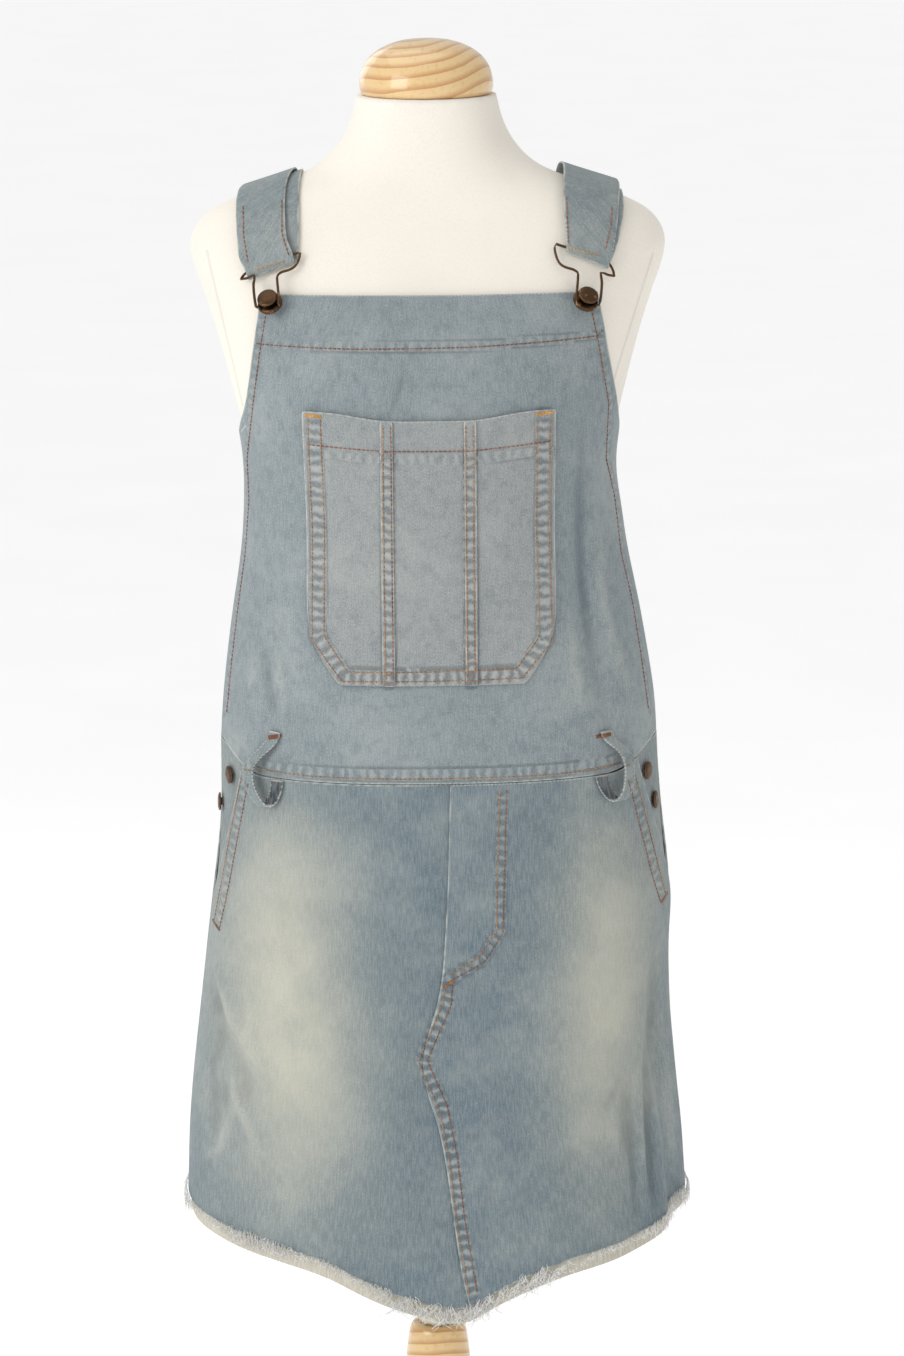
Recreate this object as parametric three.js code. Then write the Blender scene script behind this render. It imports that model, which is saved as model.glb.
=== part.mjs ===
// Denim dungaree dress on a limbless dress form with a turned wooden stand.
// Millimetres, +Z up, the front of the dress faces -Y, the foot stands on z = 0.
import * as THREE from 'three';

// ---------------------------------------------------------------- driving dimensions
const CLOTH = 1.6;              // wall of the denim panels
const TRIM = 1.4;               // wall of pocket, facing, loop and fringe cloth
const LAYER_GAP = 0.6;          // air between two layers that lie on each other
const SEAM_GAP = 0.3;           // air between two panels that meet edge to edge
const POCKET_GAP = 1.2;         // air under the bib pocket, whose facets are finer than the bib's
const EASE = 2.0;               // air between the cloth and the form where it rests on it
const ROUND = 2.35;             // how square the body sections are, 2 is an ellipse

const FORM_BOTTOM = 620;
const FORM_TOP = 1453;
const CAP = { radius: 53, height: 43.5 };
const POST = { radius: 16.2, bottom: 449.3 };
const COLUMN = { bottom: 26.3, top: 449 };
const BASE = { radius: 165, height: 26 };

const SIDE_SEAM = 88;           // degrees round from centre front
const WAIST = { z: 926, rise: 19, from: 60, to: 80 };
const BIB_TOP = 1306;
const BACK_TOP = 1180;
const LAP = { under: 13, ease: 20, gap: 0.9 };
const FRINGE = 9;
const HEM_FACING = { below: 12, above: 30 };

const STRAP_CENTRE_Z = 1250;    // straps are laid out by their angle about this height
const BUTTON = { z: 1297.5, reach: 119, out: 4.9, lean: 0.3, rise: 0.72, neck: 5.85 };
const WIRE_RADIUS = 1.1;

// The form: half width, reach to the front and reach to the back at each height.
const FORM = [
  { z: 620, half: 158, front: 94, back: 110 },
  { z: 660, half: 166, front: 99, back: 117 },
  { z: 720, half: 171, front: 103, back: 121 },
  { z: 790, half: 171, front: 105, back: 118 },
  { z: 860, half: 158, front: 99, back: 106 },
  { z: 930, half: 136, front: 92, back: 92 },
  { z: 985, half: 124, front: 90, back: 84 },
  { z: 1040, half: 125, front: 96, back: 82 },
  { z: 1100, half: 132, front: 109, back: 84 },
  { z: 1150, half: 140, front: 120, back: 88 },
  { z: 1190, half: 147, front: 122.5, back: 91 },
  { z: 1219, half: 154, front: 120, back: 93 },
  { z: 1259, half: 164.5, front: 110, back: 93 },
  { z: 1298, half: 177, front: 94, back: 88 },
  { z: 1320, half: 186, front: 83, back: 83 },
  { z: 1340, half: 190, front: 73, back: 77 },
  { z: 1352, half: 186, front: 67, back: 72 },
  { z: 1363, half: 176, front: 62, back: 67 },
  { z: 1373, half: 154, front: 59, back: 64 },
  { z: 1381, half: 130, front: 57, back: 61 },
  { z: 1389, half: 105, front: 55, back: 59 },
  { z: 1398, half: 84, front: 54, back: 57 },
  { z: 1416, half: 67, front: 53, back: 55 },
  { z: 1436, half: 58, front: 53, back: 54 },
  { z: 1453, half: 55, front: 53, back: 53 },
];

// The inner face of the cloth, where it hangs clear of the form.
const DRAPE = [
  { z: 480, left: 204, right: 205, front: 155, back: 152 },
  { z: 522, left: 203, right: 204, front: 149, back: 146 },
  { z: 583, left: 200.5, right: 200, front: 140, back: 139 },
  { z: 634, left: 198.5, right: 196.5, front: 134, back: 134 },
  { z: 669, left: 194.5, right: 191.5, front: 129, back: 131 },
  { z: 733, left: 186.5, right: 187, front: 122, back: 127 },
  { z: 779, left: 181.5, right: 187, front: 118, back: 123 },
  { z: 807, left: 178.5, right: 190, front: 117, back: 121 },
  { z: 846, left: 172.5, right: 186, front: 116, back: 117 },
  { z: 887, left: 167.5, right: 180.5, front: 116, back: 111 },
  { z: 932, left: 168, right: 178.5, front: 117, back: 106 },
  { z: 975, left: 165.5, right: 177, front: 118.5, back: 101 },
  { z: 1010, left: 161.5, right: 171.5, front: 119.5, back: 98 },
  { z: 1055, left: 155.5, right: 163.5, front: 120.5, back: 95 },
  { z: 1095, left: 148.5, right: 154.5, front: 121, back: 93 },
  { z: 1140, left: 145.5, right: 148.5, front: 121.5, back: 92 },
  { z: 1172, left: 145, right: 142, front: 121.5, back: 91 },
  { z: 1220, left: 142, right: 142, front: 114, back: 88 },
  { z: 1310, left: 140, right: 140, front: 78, back: 78 },
];

// The largest folds: where round the body, how wide in degrees, how deep, and between which heights.
const FOLDS = [
  { turn: 77, width: 5, depth: 14, low: 470, full: 600, fade: 700, high: 775 },
  { turn: 55, width: 5, depth: 3.4, low: 955, full: 1000, fade: 1090, high: 1140 },
  { turn: -56, width: 5, depth: 2.6, low: 950, full: 975, fade: 1010, high: 1075 },
  { turn: -66, width: 6, depth: 4.5, low: 520, full: 590, fade: 640, high: 730 },
  { turn: 57, width: 5, depth: 3.5, low: 500, full: 560, fade: 640, high: 700 },
  { turn: 148, width: 9, depth: 5, low: 470, full: 540, fade: 620, high: 760 },
  { turn: 205, width: 10, depth: 6, low: 470, full: 540, fade: 600, high: 740 },
  { turn: 238, width: 8, depth: 4, low: 470, full: 530, fade: 610, high: 720 },
];

// The bib's side edges, as their reach from the middle in the front view.
const BIB_EDGE = [
  { z: 900, left: 175, right: 190 },
  { z: 1190, left: 150, right: 149 },
  { z: 1218, left: 142, right: 146 },
  { z: 1265, left: 135, right: 138 },
  { z: 1290, left: 131, right: 134 },
  { z: 1310, left: 129, right: 130 },
];

// The back bodice's side edges.
const BACK_EDGE = [
  { z: 900, half: 190 },
  { z: 960, half: 172 },
  { z: 1010, half: 152 },
  { z: 1070, half: 124 },
  { z: 1130, half: 105 },
  { z: 1185, half: 96 },
];

// The slanted edges of the hip pockets, in degrees round from centre front.
const SLANT = [
  { z: 780, left: 88.6, right: 91.8 },
  { z: 926, left: 67.6, right: 70.5 },
  { z: 950, left: 64.4, right: 67.2 },
];

// Centre front: the folded edge of the right panel, with the jog where two old seams meet.
const CENTRE = [
  { z: 490, x: 34 },
  { z: 519, x: 22 },
  { z: 580, x: 13.3 },
  { z: 629, x: 7.8 },
  { z: 666, x: 0.3 },
  { z: 704, x: -16.7 },
  { z: 751, x: 4.9 },
  { z: 765, x: 6.6 },
  { z: 810, x: 9.4 },
  { z: 848, x: 11.8 },
  { z: 930, x: 14 },
];

// The raw hem's height all round.
const HEM = [
  { turn: -180, z: 568 }, { turn: -120, z: 569 }, { turn: -88, z: 569 }, { turn: -68, z: 562 },
  { turn: -45, z: 552 }, { turn: -30, z: 542 }, { turn: -20, z: 527 }, { turn: -3, z: 513 },
  { turn: 8, z: 509 }, { turn: 20, z: 525 }, { turn: 36, z: 541 }, { turn: 55, z: 550 },
  { turn: 68, z: 559 }, { turn: 88, z: 565 }, { turn: 120, z: 568 }, { turn: 180, z: 568 },
];

// The bib pocket's outline in the front view.
const POCKET_EDGE = [
  { z: 1005.5, left: 70.6, right: 72.3 },
  { z: 1038, left: 95, right: 96.9 },
  { z: 1126, left: 93.3, right: 94.6 },
  { z: 1220, left: 95.9, right: 95.9 },
];
const POCKET = { bottom: 1005.5, top: 1213, corner: 6, hemAt: 1188, hemRise: 0.8 };
const POCKET_LEVELS = [1005.5, 1038, 1082, 1126, 1160, 1188, 1193, 1213];
const FELLS = [
  { name: 'pocket_fell_left', from: -37, to: -27.5 },
  { name: 'pocket_fell_right', from: 26.5, to: 35.6 },
];

// Each strap, laid out by angle over the shoulder: 0 is forward, 90 straight up, 180 backward.
// inner and outer are its edges' reach from the middle, lift its height off the form. The first
// rows are the turned-back end, folded round the buckle's bar. tilt slants the folded end.
const STRAPS = [
  { side: -1, name: 'left', tilt: { inner: 1.4, outer: -1.1 }, bar: 50.25, rows: [
    { turn: 112, lift: 2.0, inner: 97, outer: 135 }, { turn: 90, lift: 2.2, inner: 97, outer: 135 },
    { turn: 72, lift: 2.0, inner: 99, outer: 137 }, { turn: 58, lift: 2.0, inner: 99, outer: 136 },
    { turn: 50, lift: 2.0, inner: 100, outer: 136 }, { turn: 47.9, lift: 2.6, inner: 101, outer: 136.5 },
    { turn: 46.9, lift: 4.5, inner: 101.5, outer: 136.8 }, { turn: 47.9, lift: 6.6, inner: 102, outer: 137 },
    { turn: 50, lift: 7.2, inner: 102.5, outer: 137.5 }, { turn: 55, lift: 6.9, inner: 107, outer: 143 },
    { turn: 62, lift: 5.5, inner: 109, outer: 145.5 }, { turn: 72, lift: 4.9, inner: 109, outer: 147 },
    { turn: 82, lift: 5.6, inner: 106, outer: 146 }, { turn: 90, lift: 5.8, inner: 103, outer: 143 },
    { turn: 100, lift: 5.2, inner: 101, outer: 140 }, { turn: 114, lift: 4.6, inner: 99, outer: 138 },
    { turn: 130, lift: 2.2, inner: 91, outer: 130 }, { turn: 160, lift: 2.2, inner: 76, outer: 114 },
    { turn: 196, lift: 2.4, inner: 60, outer: 98 }, { turn: 206, lift: 4.4, inner: 55, outer: 93 },
    { turn: 212, lift: 5.9, inner: 54, outer: 92 }, { turn: 226, lift: 6.1, inner: 52, outer: 90 },
  ] },
  { side: 1, name: 'right', tilt: { inner: 3.2, outer: 0.9 }, bar: 50.6, rows: [
    { turn: 112, lift: 2.0, inner: 112, outer: 152 }, { turn: 90, lift: 2.2, inner: 112, outer: 152 },
    { turn: 72, lift: 2.0, inner: 112, outer: 152 }, { turn: 58, lift: 2.0, inner: 108, outer: 146 },
    { turn: 51.5, lift: 2.0, inner: 107, outer: 141 }, { turn: 49.4, lift: 2.6, inner: 106.5, outer: 139 },
    { turn: 48.4, lift: 4.5, inner: 106.3, outer: 138 }, { turn: 49.4, lift: 6.6, inner: 106.2, outer: 138 },
    { turn: 51.5, lift: 7.2, inner: 106, outer: 139 }, { turn: 57, lift: 6.9, inner: 106, outer: 142 },
    { turn: 64, lift: 6.0, inner: 105, outer: 145 }, { turn: 73, lift: 6.2, inner: 104.5, outer: 147 },
    { turn: 82, lift: 8.6, inner: 104, outer: 147.5 }, { turn: 90, lift: 9.4, inner: 103, outer: 146 },
    { turn: 100, lift: 7.4, inner: 101, outer: 142 }, { turn: 114, lift: 4.8, inner: 99, outer: 138 },
    { turn: 130, lift: 2.2, inner: 91, outer: 130 }, { turn: 160, lift: 2.2, inner: 76, outer: 114 },
    { turn: 196, lift: 2.4, inner: 60, outer: 98 }, { turn: 206, lift: 4.4, inner: 55, outer: 93 },
    { turn: 212, lift: 5.9, inner: 54, outer: 92 }, { turn: 226, lift: 6.1, inner: 52, outer: 90 },
  ] },
];

// The wire buckle: its loop round the button's neck, then each arm, then the bar in the strap's fold.
// across is towards the middle of the dress from the button, rise is up, lift is off the form.
const NECK_LOOP = [
  { angle: 38, radius: 11.4 }, { angle: 14, radius: 7 }, { angle: -22, radius: 5.9 }, { angle: -56, radius: 5.9 },
  { angle: -90, radius: 5.9 }, { angle: -124, radius: 5.9 }, { angle: -158, radius: 5.9 },
  { angle: -194, radius: 7 }, { angle: -218, radius: 11.4 },
];
const OUTER_ARM = [
  { across: -7.4, rise: 10.4, lift: 11 }, { across: -6.8, rise: 13.6, lift: 9.8 },
  { across: -8.4, rise: 15.6, lift: 9 }, { across: -11.2, rise: 14.2, lift: 8.4 },
  { across: -14.6, rise: 12.8, lift: 7.6 }, { across: -17.8, rise: 13.2, lift: 6.4 },
  { across: -19.6, rise: 12.6, lift: 4.8 },
];
const BAR = [1.06, 0.7, 0.35, 0, -0.12];
const INNER_ARM = [
  { across: 22.6, rise: 24, lift: 4.6 }, { across: 18, rise: 19.8, lift: 6.4 },
  { across: 12.4, rise: 18, lift: 7.8 }, { across: 9.4, rise: 15.6, lift: 9 },
  { across: 9.7, rise: 12.2, lift: 10.4 },
];

// Belt loops: where the strip's middle runs, and how far it stands off the bib.
const LOOP_WIDTH = 11;
const LOOPS = [
  { name: 'belt_loop_left', rows: [
    { x: -122, z: 963, off: 0 }, { x: -124, z: 955, off: 0.8 }, { x: -131, z: 945, off: 4.6 },
    { x: -136.5, z: 936, off: 7.4 }, { x: -137, z: 925, off: 8.8 }, { x: -134, z: 914, off: 8.4 },
    { x: -130.5, z: 906.5, off: 6.8 }, { x: -127.5, z: 904, off: 4.6 }, { x: -124, z: 907, off: 2.6 },
    { x: -121, z: 916, off: 0.9 }, { x: -120, z: 925, off: 0.2 },
  ] },
  { name: 'belt_loop_right', rows: [
    { x: 135, z: 961, off: 0 }, { x: 137.5, z: 954, off: 0.8 }, { x: 144, z: 946, off: 4.6 },
    { x: 147.5, z: 937, off: 7.2 }, { x: 147.5, z: 925, off: 8.8 }, { x: 146.5, z: 914, off: 8.4 },
    { x: 144.5, z: 907.5, off: 6.8 }, { x: 141.5, z: 905, off: 4.6 }, { x: 137.5, z: 908, off: 2.6 },
    { x: 133, z: 917, off: 0.9 }, { x: 131, z: 926, off: 0.2 },
  ] },
];

// Side buttons, with the air added under each so that its shank just clears the curved cloth.
const SIDE_BUTTONS = [
  { name: 'side_button_left_upper', x: -160.6, z: 919, spare: -0.5 },
  { name: 'side_button_left_lower', x: -166.7, z: 891, spare: 0.3 },
  { name: 'side_button_right_upper', x: 169.9, z: 920, spare: 0 },
  { name: 'side_button_right_lower', x: 176.3, z: 893, spare: 0.2 },
];

// ---------------------------------------------------------------- small helpers
const rad = (degrees) => (degrees * Math.PI) / 180;
const mix = (a, b, t) => a + (b - a) * t;
const clamp = (t) => Math.min(1, Math.max(0, t));
const smooth = (t) => clamp(t) * clamp(t) * (3 - 2 * clamp(t));
const spread = (count) => Array.from({ length: count + 1 }, (_, i) => i / count);
const softMax = (a, b) => (a + b + Math.sqrt((a - b) ** 2 + 4)) / 2;

// Reads a column of a table at a position, curved or in straight runs between its rows.
function read(table, key, position, column, curved = false) {
  const last = table.length - 1;
  const p = Math.min(Math.max(position, table[0][key]), table[last][key]);
  let i = 0;
  while (i < last - 1 && p > table[i + 1][key]) i += 1;
  const [a, b] = [table[i], table[i + 1]];
  const span = b[key] - a[key];
  const t = (p - a[key]) / span;
  if (!curved) return mix(a[column], b[column], t);
  const slope = (k) => {
    const [u, w] = [table[Math.max(k - 1, 0)], table[Math.min(k + 1, last)]];
    return (w[column] - u[column]) / (w[key] - u[key]);
  };
  const [t2, t3] = [t * t, t * t * t];
  return (2 * t3 - 3 * t2 + 1) * a[column] + (t3 - 2 * t2 + t) * span * slope(i)
    + (3 * t2 - 2 * t3) * b[column] + (t3 - t2) * span * slope(i + 1);
}

// Distance from the axis to a rounded section, by the angle from centre front.
function reach(turn, half, depth) {
  const s = Math.abs(Math.sin(rad(turn)));
  const c = Math.abs(Math.cos(rad(turn)));
  return ((s / half) ** ROUND + (c / depth) ** ROUND) ** (-1 / ROUND);
}

function formReach(turn, z) {
  const depth = Math.cos(rad(turn)) > 0 ? 'front' : 'back';
  return reach(turn, read(FORM, 'z', z, 'half', true), read(FORM, 'z', z, depth, true));
}

// A point lifted off the form's own surface.
function onForm(turn, z, lift) {
  const at = (t, h) => new THREE.Vector3(formReach(t, h) * Math.sin(rad(t)), -formReach(t, h) * Math.cos(rad(t)), h);
  const normal = at(turn + 0.4, z).sub(at(turn - 0.4, z)).cross(at(turn, z + 1).sub(at(turn, z - 1))).normalize();
  return at(turn, z).addScaledVector(normal, lift);
}

// The angle at which the front of the form is a distance from the middle.
function formTurnAt(x, z) {
  let [low, high] = [0, SIDE_SEAM];
  for (let k = 0; k < 30; k += 1) {
    const t = (low + high) / 2;
    if (formReach(t, z) * Math.sin(rad(t)) < Math.abs(x)) low = t; else high = t;
  }
  return Math.sign(x) * low;
}

function foldDepth(turn, z) {
  return FOLDS.reduce((sum, fold) => {
    const away = ((turn - fold.turn + 540) % 360) - 180;
    const rise = smooth((z - fold.low) / (fold.full - fold.low));
    const fall = 1 - smooth((z - fold.fade) / (fold.high - fold.fade));
    return sum + fold.depth * Math.exp(-((away / fold.width) ** 2)) * Math.min(rise, fall);
  }, 0);
}

function plainReach(turn, z) {
  const side = Math.sin(rad(turn)) > 0 ? 'right' : 'left';
  const depth = Math.cos(rad(turn)) > 0 ? 'front' : 'back';
  const hung = reach(turn, read(DRAPE, 'z', z, side, true), read(DRAPE, 'z', z, depth, true));
  return z > 1030 ? softMax(hung, formReach(turn, z) + EASE) : hung;
}

function onSkin(turn, z) {
  const r = plainReach(turn, z) - foldDepth(turn, z);
  return new THREE.Vector3(r * Math.sin(rad(turn)), -r * Math.cos(rad(turn)), z);
}

function skinNormal(turn, z) {
  const across = onSkin(turn + 0.4, z).sub(onSkin(turn - 0.4, z));
  const up = onSkin(turn, z + 1).sub(onSkin(turn, z - 1));
  return across.cross(up).normalize();
}

// A point on the cloth's inner face moved out by a distance.
function place(turn, z, out) {
  return onSkin(turn, z).addScaledVector(skinNormal(turn, z), out);
}

// The angle at which the cloth, or its back, is a given distance from the middle.
function turnAt(x, z, back = false) {
  const limit = SIDE_SEAM - 2;
  let [low, high] = [0, limit];
  const sign = Math.sign(x) || 1;
  const toTurn = (t) => (back ? sign * (180 - t) : sign * t);
  for (let k = 0; k < 30; k += 1) {
    const t = (low + high) / 2;
    const here = plainReach(toTurn(t), z) * Math.sin(rad(t));
    if (here < Math.abs(x)) low = t; else high = t;
  }
  return toTurn((low + high) / 2);
}

const waistSeam = (turn) => {
  const away = Math.abs(((turn + 540) % 360) - 180);
  return WAIST.z + WAIST.rise * smooth((away - WAIST.from) / (WAIST.to - WAIST.from));
};
const hemLine = (turn) => read(HEM, 'turn', ((turn + 540) % 360) - 180, 'z', true);
const centreTurn = (z) => turnAt(read(CENTRE, 'z', z, 'x'), z);
const lapTurn = (z) => turnAt(read(CENTRE, 'z', z, 'x') + LAP.under, z);

// How far the under layer steps in below the folded centre front edge.
function lapStep(turn, z, bothSides) {
  const x = onSkin(turn, z).x - read(CENTRE, 'z', z, 'x');
  const near = smooth((x + LAP.ease + 1) / LAP.ease);
  const far = bothSides ? 1 - smooth((x - LAP.under - 3) / LAP.ease) : 1;
  return Math.abs(turn) > 60 ? 0 : (CLOTH + LAP.gap) * near * far;
}

// ---------------------------------------------------------------- solids
// A closed shell from two grids of points, at(i, j, face) with face 0 inside and 1 outside.
function shell(columns, rows, at) {
  const points = [];
  const faces = [];
  const index = (i, j, face) => (face * (rows + 1) + j) * (columns + 1) + i;
  for (const face of [0, 1]) {
    for (let j = 0; j <= rows; j += 1) {
      for (let i = 0; i <= columns; i += 1) points.push(at(i, j, face));
    }
  }
  const quad = (a, b, c, d) => faces.push(a, b, c, a, c, d);
  for (let j = 0; j < rows; j += 1) {
    for (let i = 0; i < columns; i += 1) {
      quad(index(i, j, 1), index(i + 1, j, 1), index(i + 1, j + 1, 1), index(i, j + 1, 1));
      quad(index(i, j, 0), index(i, j + 1, 0), index(i + 1, j + 1, 0), index(i + 1, j, 0));
    }
    quad(index(0, j, 0), index(0, j, 1), index(0, j + 1, 1), index(0, j + 1, 0));
    quad(index(columns, j, 1), index(columns, j, 0), index(columns, j + 1, 0), index(columns, j + 1, 1));
  }
  for (let i = 0; i < columns; i += 1) {
    quad(index(i, 0, 0), index(i + 1, 0, 0), index(i + 1, 0, 1), index(i, 0, 1));
    quad(index(i, rows, 1), index(i + 1, rows, 1), index(i + 1, rows, 0), index(i, rows, 0));
  }
  const geometry = new THREE.BufferGeometry().setFromPoints(points);
  geometry.setIndex(faces);
  return geometry;
}

// A cloth panel between two side edges, angles by height, and two ends, heights by angle.
function panel({ from, to, low, high, across, levels, out = () => 0, thick = () => CLOTH }) {
  const bottom = low((from(levels[0]) + to(levels[0])) / 2);
  const last = levels[levels.length - 1];
  const spots = levels.map((level) => across.map((s) => {
    const v = (level - levels[0]) / (last - levels[0]);
    let z = mix(bottom, last, v);
    let turn = 0;
    for (let k = 0; k < 6; k += 1) {
      turn = mix(from(z), to(z), s);
      z = mix(low(turn), high(turn), v);
    }
    return { turn, z };
  }));
  return shell(across.length - 1, levels.length - 1, (i, j, face) => {
    const { turn, z } = spots[j][i];
    return place(turn, z, out(turn, z) + face * thick(turn, z));
  });
}

// A round bar of given radius along points, open with flat ends or closed on itself.
function wire(points, radius, sides) {
  const curve = new THREE.CatmullRomCurve3(points, true, 'centripetal');
  const steps = points.length * 2;
  const frames = curve.computeFrenetFrames(steps, true);
  const rings = [];
  for (let i = 0; i < steps; i += 1) {
    const centre = curve.getPointAt(i / steps);
    for (let k = 0; k < sides; k += 1) {
      const a = (2 * Math.PI * k) / sides;
      rings.push(centre.clone().addScaledVector(frames.normals[i], radius * Math.cos(a))
        .addScaledVector(frames.binormals[i], radius * Math.sin(a)));
    }
  }
  const faces = [];
  for (let i = 0; i < steps; i += 1) {
    for (let k = 0; k < sides; k += 1) {
      const [a, b] = [i * sides + k, i * sides + ((k + 1) % sides)];
      const [c, d] = [((i + 1) % steps) * sides + ((k + 1) % sides), ((i + 1) % steps) * sides + k];
      faces.push(a, b, c, a, c, d);
    }
  }
  const geometry = new THREE.BufferGeometry().setFromPoints(rings);
  geometry.setIndex(faces);
  return geometry;
}

// A turned solid from its profile of radius and height, standing on its own axis.
function turned(profile, sides) {
  const geometry = new THREE.LatheGeometry(profile.map(({ r, z }) => new THREE.Vector2(r, z)), sides);
  return geometry.rotateX(Math.PI / 2);
}

function formSolid() {
  const levels = [];
  FORM.slice(0, -1).forEach((row, i) => {
    levels.push(row.z);
    if (row.z > 1150 && row.z < 1330) levels.push((row.z + FORM[i + 1].z) / 2);
  });
  levels.push(FORM_TOP);
  const sides = 40;
  const points = [];
  levels.forEach((z) => {
    for (let k = 0; k < sides; k += 1) {
      const turn = (360 * k) / sides;
      const r = formReach(turn, z);
      points.push(new THREE.Vector3(r * Math.sin(rad(turn)), -r * Math.cos(rad(turn)), z));
    }
  });
  const [foot, crown] = [points.length, points.length + 1];
  points.push(new THREE.Vector3(0, 0, FORM_BOTTOM), new THREE.Vector3(0, 0, FORM_TOP));
  const faces = [];
  for (let k = 0; k < sides; k += 1) {
    const next = (k + 1) % sides;
    for (let j = 0; j < levels.length - 1; j += 1) {
      const [a, b] = [j * sides + k, j * sides + next];
      faces.push(a, b, b + sides, a, b + sides, a + sides);
    }
    const top = (levels.length - 1) * sides;
    faces.push(foot, next, k, crown, top + k, top + next);
  }
  const geometry = new THREE.BufferGeometry().setFromPoints(points);
  geometry.setIndex(faces);
  return geometry;
}

// The form's surface where a plane of constant x is met at an angle over the shoulder.
function overShoulder(x, turn) {
  const at = (r) => new THREE.Vector3(x, -r * Math.cos(rad(turn)), STRAP_CENTRE_Z + r * Math.sin(rad(turn)));
  const inside = (p) => {
    const half = read(FORM, 'z', p.z, 'half', true);
    const depth = read(FORM, 'z', p.z, p.y < 0 ? 'front' : 'back', true);
    return (Math.abs(p.x) / half) ** ROUND + (Math.abs(p.y) / depth) ** ROUND < 1;
  };
  let [low, high] = [20, 200];
  for (let k = 0; k < 34; k += 1) {
    const r = (low + high) / 2;
    if (inside(at(r))) low = r; else high = r;
  }
  return at(low);
}

// A point on a strap, or on the bar in its fold: s runs from the inner edge to the outer edge.
function onStrap({ side, tilt }, s, { turn, lift, inner, outer }) {
  const slant = mix(tilt.inner, tilt.outer, s) * smooth((70 - turn) / 20);
  const x = side * mix(inner, outer, s);
  const skin = (dx, dt) => overShoulder(x + dx, turn + slant + dt);
  const normal = skin(2, 0).sub(skin(-2, 0)).cross(skin(0, 1).sub(skin(0, -1))).normalize();
  return skin(0, 0).addScaledVector(normal, lift);
}

function strapSolid(strap) {
  const { side, rows } = strap;
  const across = spread(3);
  const stations = [];
  rows.forEach((row, i) => {
    const next = rows[i + 1];
    const steps = next ? Math.max(1, Math.ceil(Math.abs(next.turn - row.turn) / (row.turn > 120 ? 9 : 5))) : 1;
    for (let k = 0; k < steps; k += 1) stations.push(i + k / steps);
  });
  const table = rows.map((row, i) => ({ ...row, i }));
  const grid = stations.map((at) => {
    const [turn, lift, inner, outer] = ['turn', 'lift', 'inner', 'outer'].map((c) => read(table, 'i', at, c, true));
    return across.map((s) => onStrap(strap, s, { turn, lift, inner, outer }));
  });
  const normals = grid.map((line, j) => line.map((_, i) => {
    const along = grid[Math.min(j + 1, grid.length - 1)][i].clone().sub(grid[Math.max(j - 1, 0)][i]);
    const wide = line[Math.min(i + 1, 3)].clone().sub(line[Math.max(i - 1, 0)]);
    return along.cross(wide).normalize().multiplyScalar(side);
  }));
  return shell(3, grid.length - 1, (i, j, face) => {
    const column = side > 0 ? 3 - i : i;
    return grid[j][column].clone().addScaledVector(normals[j][column], CLOTH * (face - 0.5));
  });
}

// The buckle's closed wire: loop round the neck, outer arm, bar, inner arm.
function bucklePoints(strap) {
  const { point, axis } = buttonSeat(strap.side);
  const neck = point.clone().addScaledVector(axis, BUTTON.neck);
  const inward = new THREE.Vector3(-strap.side, 0, 0);
  inward.addScaledVector(axis, -inward.dot(axis)).normalize();
  const rise = axis.clone().cross(inward).multiplyScalar(strap.side).normalize();
  const loop = NECK_LOOP.map(({ angle, radius }) => neck.clone()
    .addScaledVector(inward, radius * Math.cos(rad(angle))).addScaledVector(rise, radius * Math.sin(rad(angle))));
  const arm = ({ across, rise: z, lift }) => {
    const x = neck.x - strap.side * across;
    const turn = formTurnAt(x, neck.z + z);
    return onForm(turn, neck.z + z, lift);
  };
  const bar = BAR.map((s) => onStrap(strap, s, { turn: strap.bar, lift: 4.6, inner: 102, outer: 137 }));
  return [...loop, ...OUTER_ARM.map(arm), ...bar, ...INNER_ARM.map(arm)];
}

function loopSolid({ rows }) {
  const table = rows.map((row, i) => ({ ...row, i }));
  const count = (rows.length - 1) * 2;
  const base = CLOTH + LAYER_GAP + TRIM / 2;
  const middle = (at, shift) => {
    const z = read(table, 'i', at, 'z', true);
    const x = read(table, 'i', at, 'x', true);
    const turn = turnAt(x, z);
    const point = place(turn, z, base + read(table, 'i', at, 'off', true));
    const sideways = place(turn + 1, z, base).sub(place(turn - 1, z, base)).normalize();
    return { point: point.addScaledVector(sideways, shift), sideways };
  };
  return shell(1, count, (i, j, face) => {
    const at = j / 2;
    const { point, sideways } = middle(at, (0.5 - i) * LOOP_WIDTH);
    const ahead = middle(Math.min(at + 0.1, rows.length - 1), 0).point;
    const along = ahead.sub(middle(Math.max(at - 0.1, 0), 0).point);
    const normal = along.cross(sideways).normalize();
    return point.addScaledVector(normal, TRIM * (face - 0.5));
  });
}

// Where the bib button's shank meets the bib, with its axis and the buckle's own plane.
function buttonSeat(side) {
  const { z } = BUTTON;
  const turn = turnAt(side * BUTTON.reach, z);
  const axis = new THREE.Vector3(side * BUTTON.lean, -Math.sqrt(1 - BUTTON.rise ** 2), BUTTON.rise).normalize();
  return { point: place(turn, z, CLOTH + BUTTON.out), axis };
}

// ---------------------------------------------------------------- colours
const DENIM = '#93a6b4';
const DENIM_DARK = '#6d8496';
const DENIM_PALE = '#a9b4ba';
const CREAM = '#ece6da';
const FRINGE_WHITE = '#e4e3dc';
const FACING = '#d3ccb8';
const BRONZE = '#5a4632';
const PINE = '#dcae72';
const WHITE = '#f2f0ec';

const part = new THREE.Group();
part.name = 'dungaree_dress_on_form';

function add(name, geometry, color, metal = false) {
  geometry.computeVertexNormals();
  const look = { color, metalness: metal ? 0.8 : 0, roughness: metal ? 0.4 : 0.85 };
  const mesh = new THREE.Mesh(geometry, new THREE.MeshStandardMaterial(look));
  mesh.name = name;
  part.add(mesh);
  return mesh;
}

// ---------------------------------------------------------------- the form and its stand
add('form_torso', formSolid(), CREAM);

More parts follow.
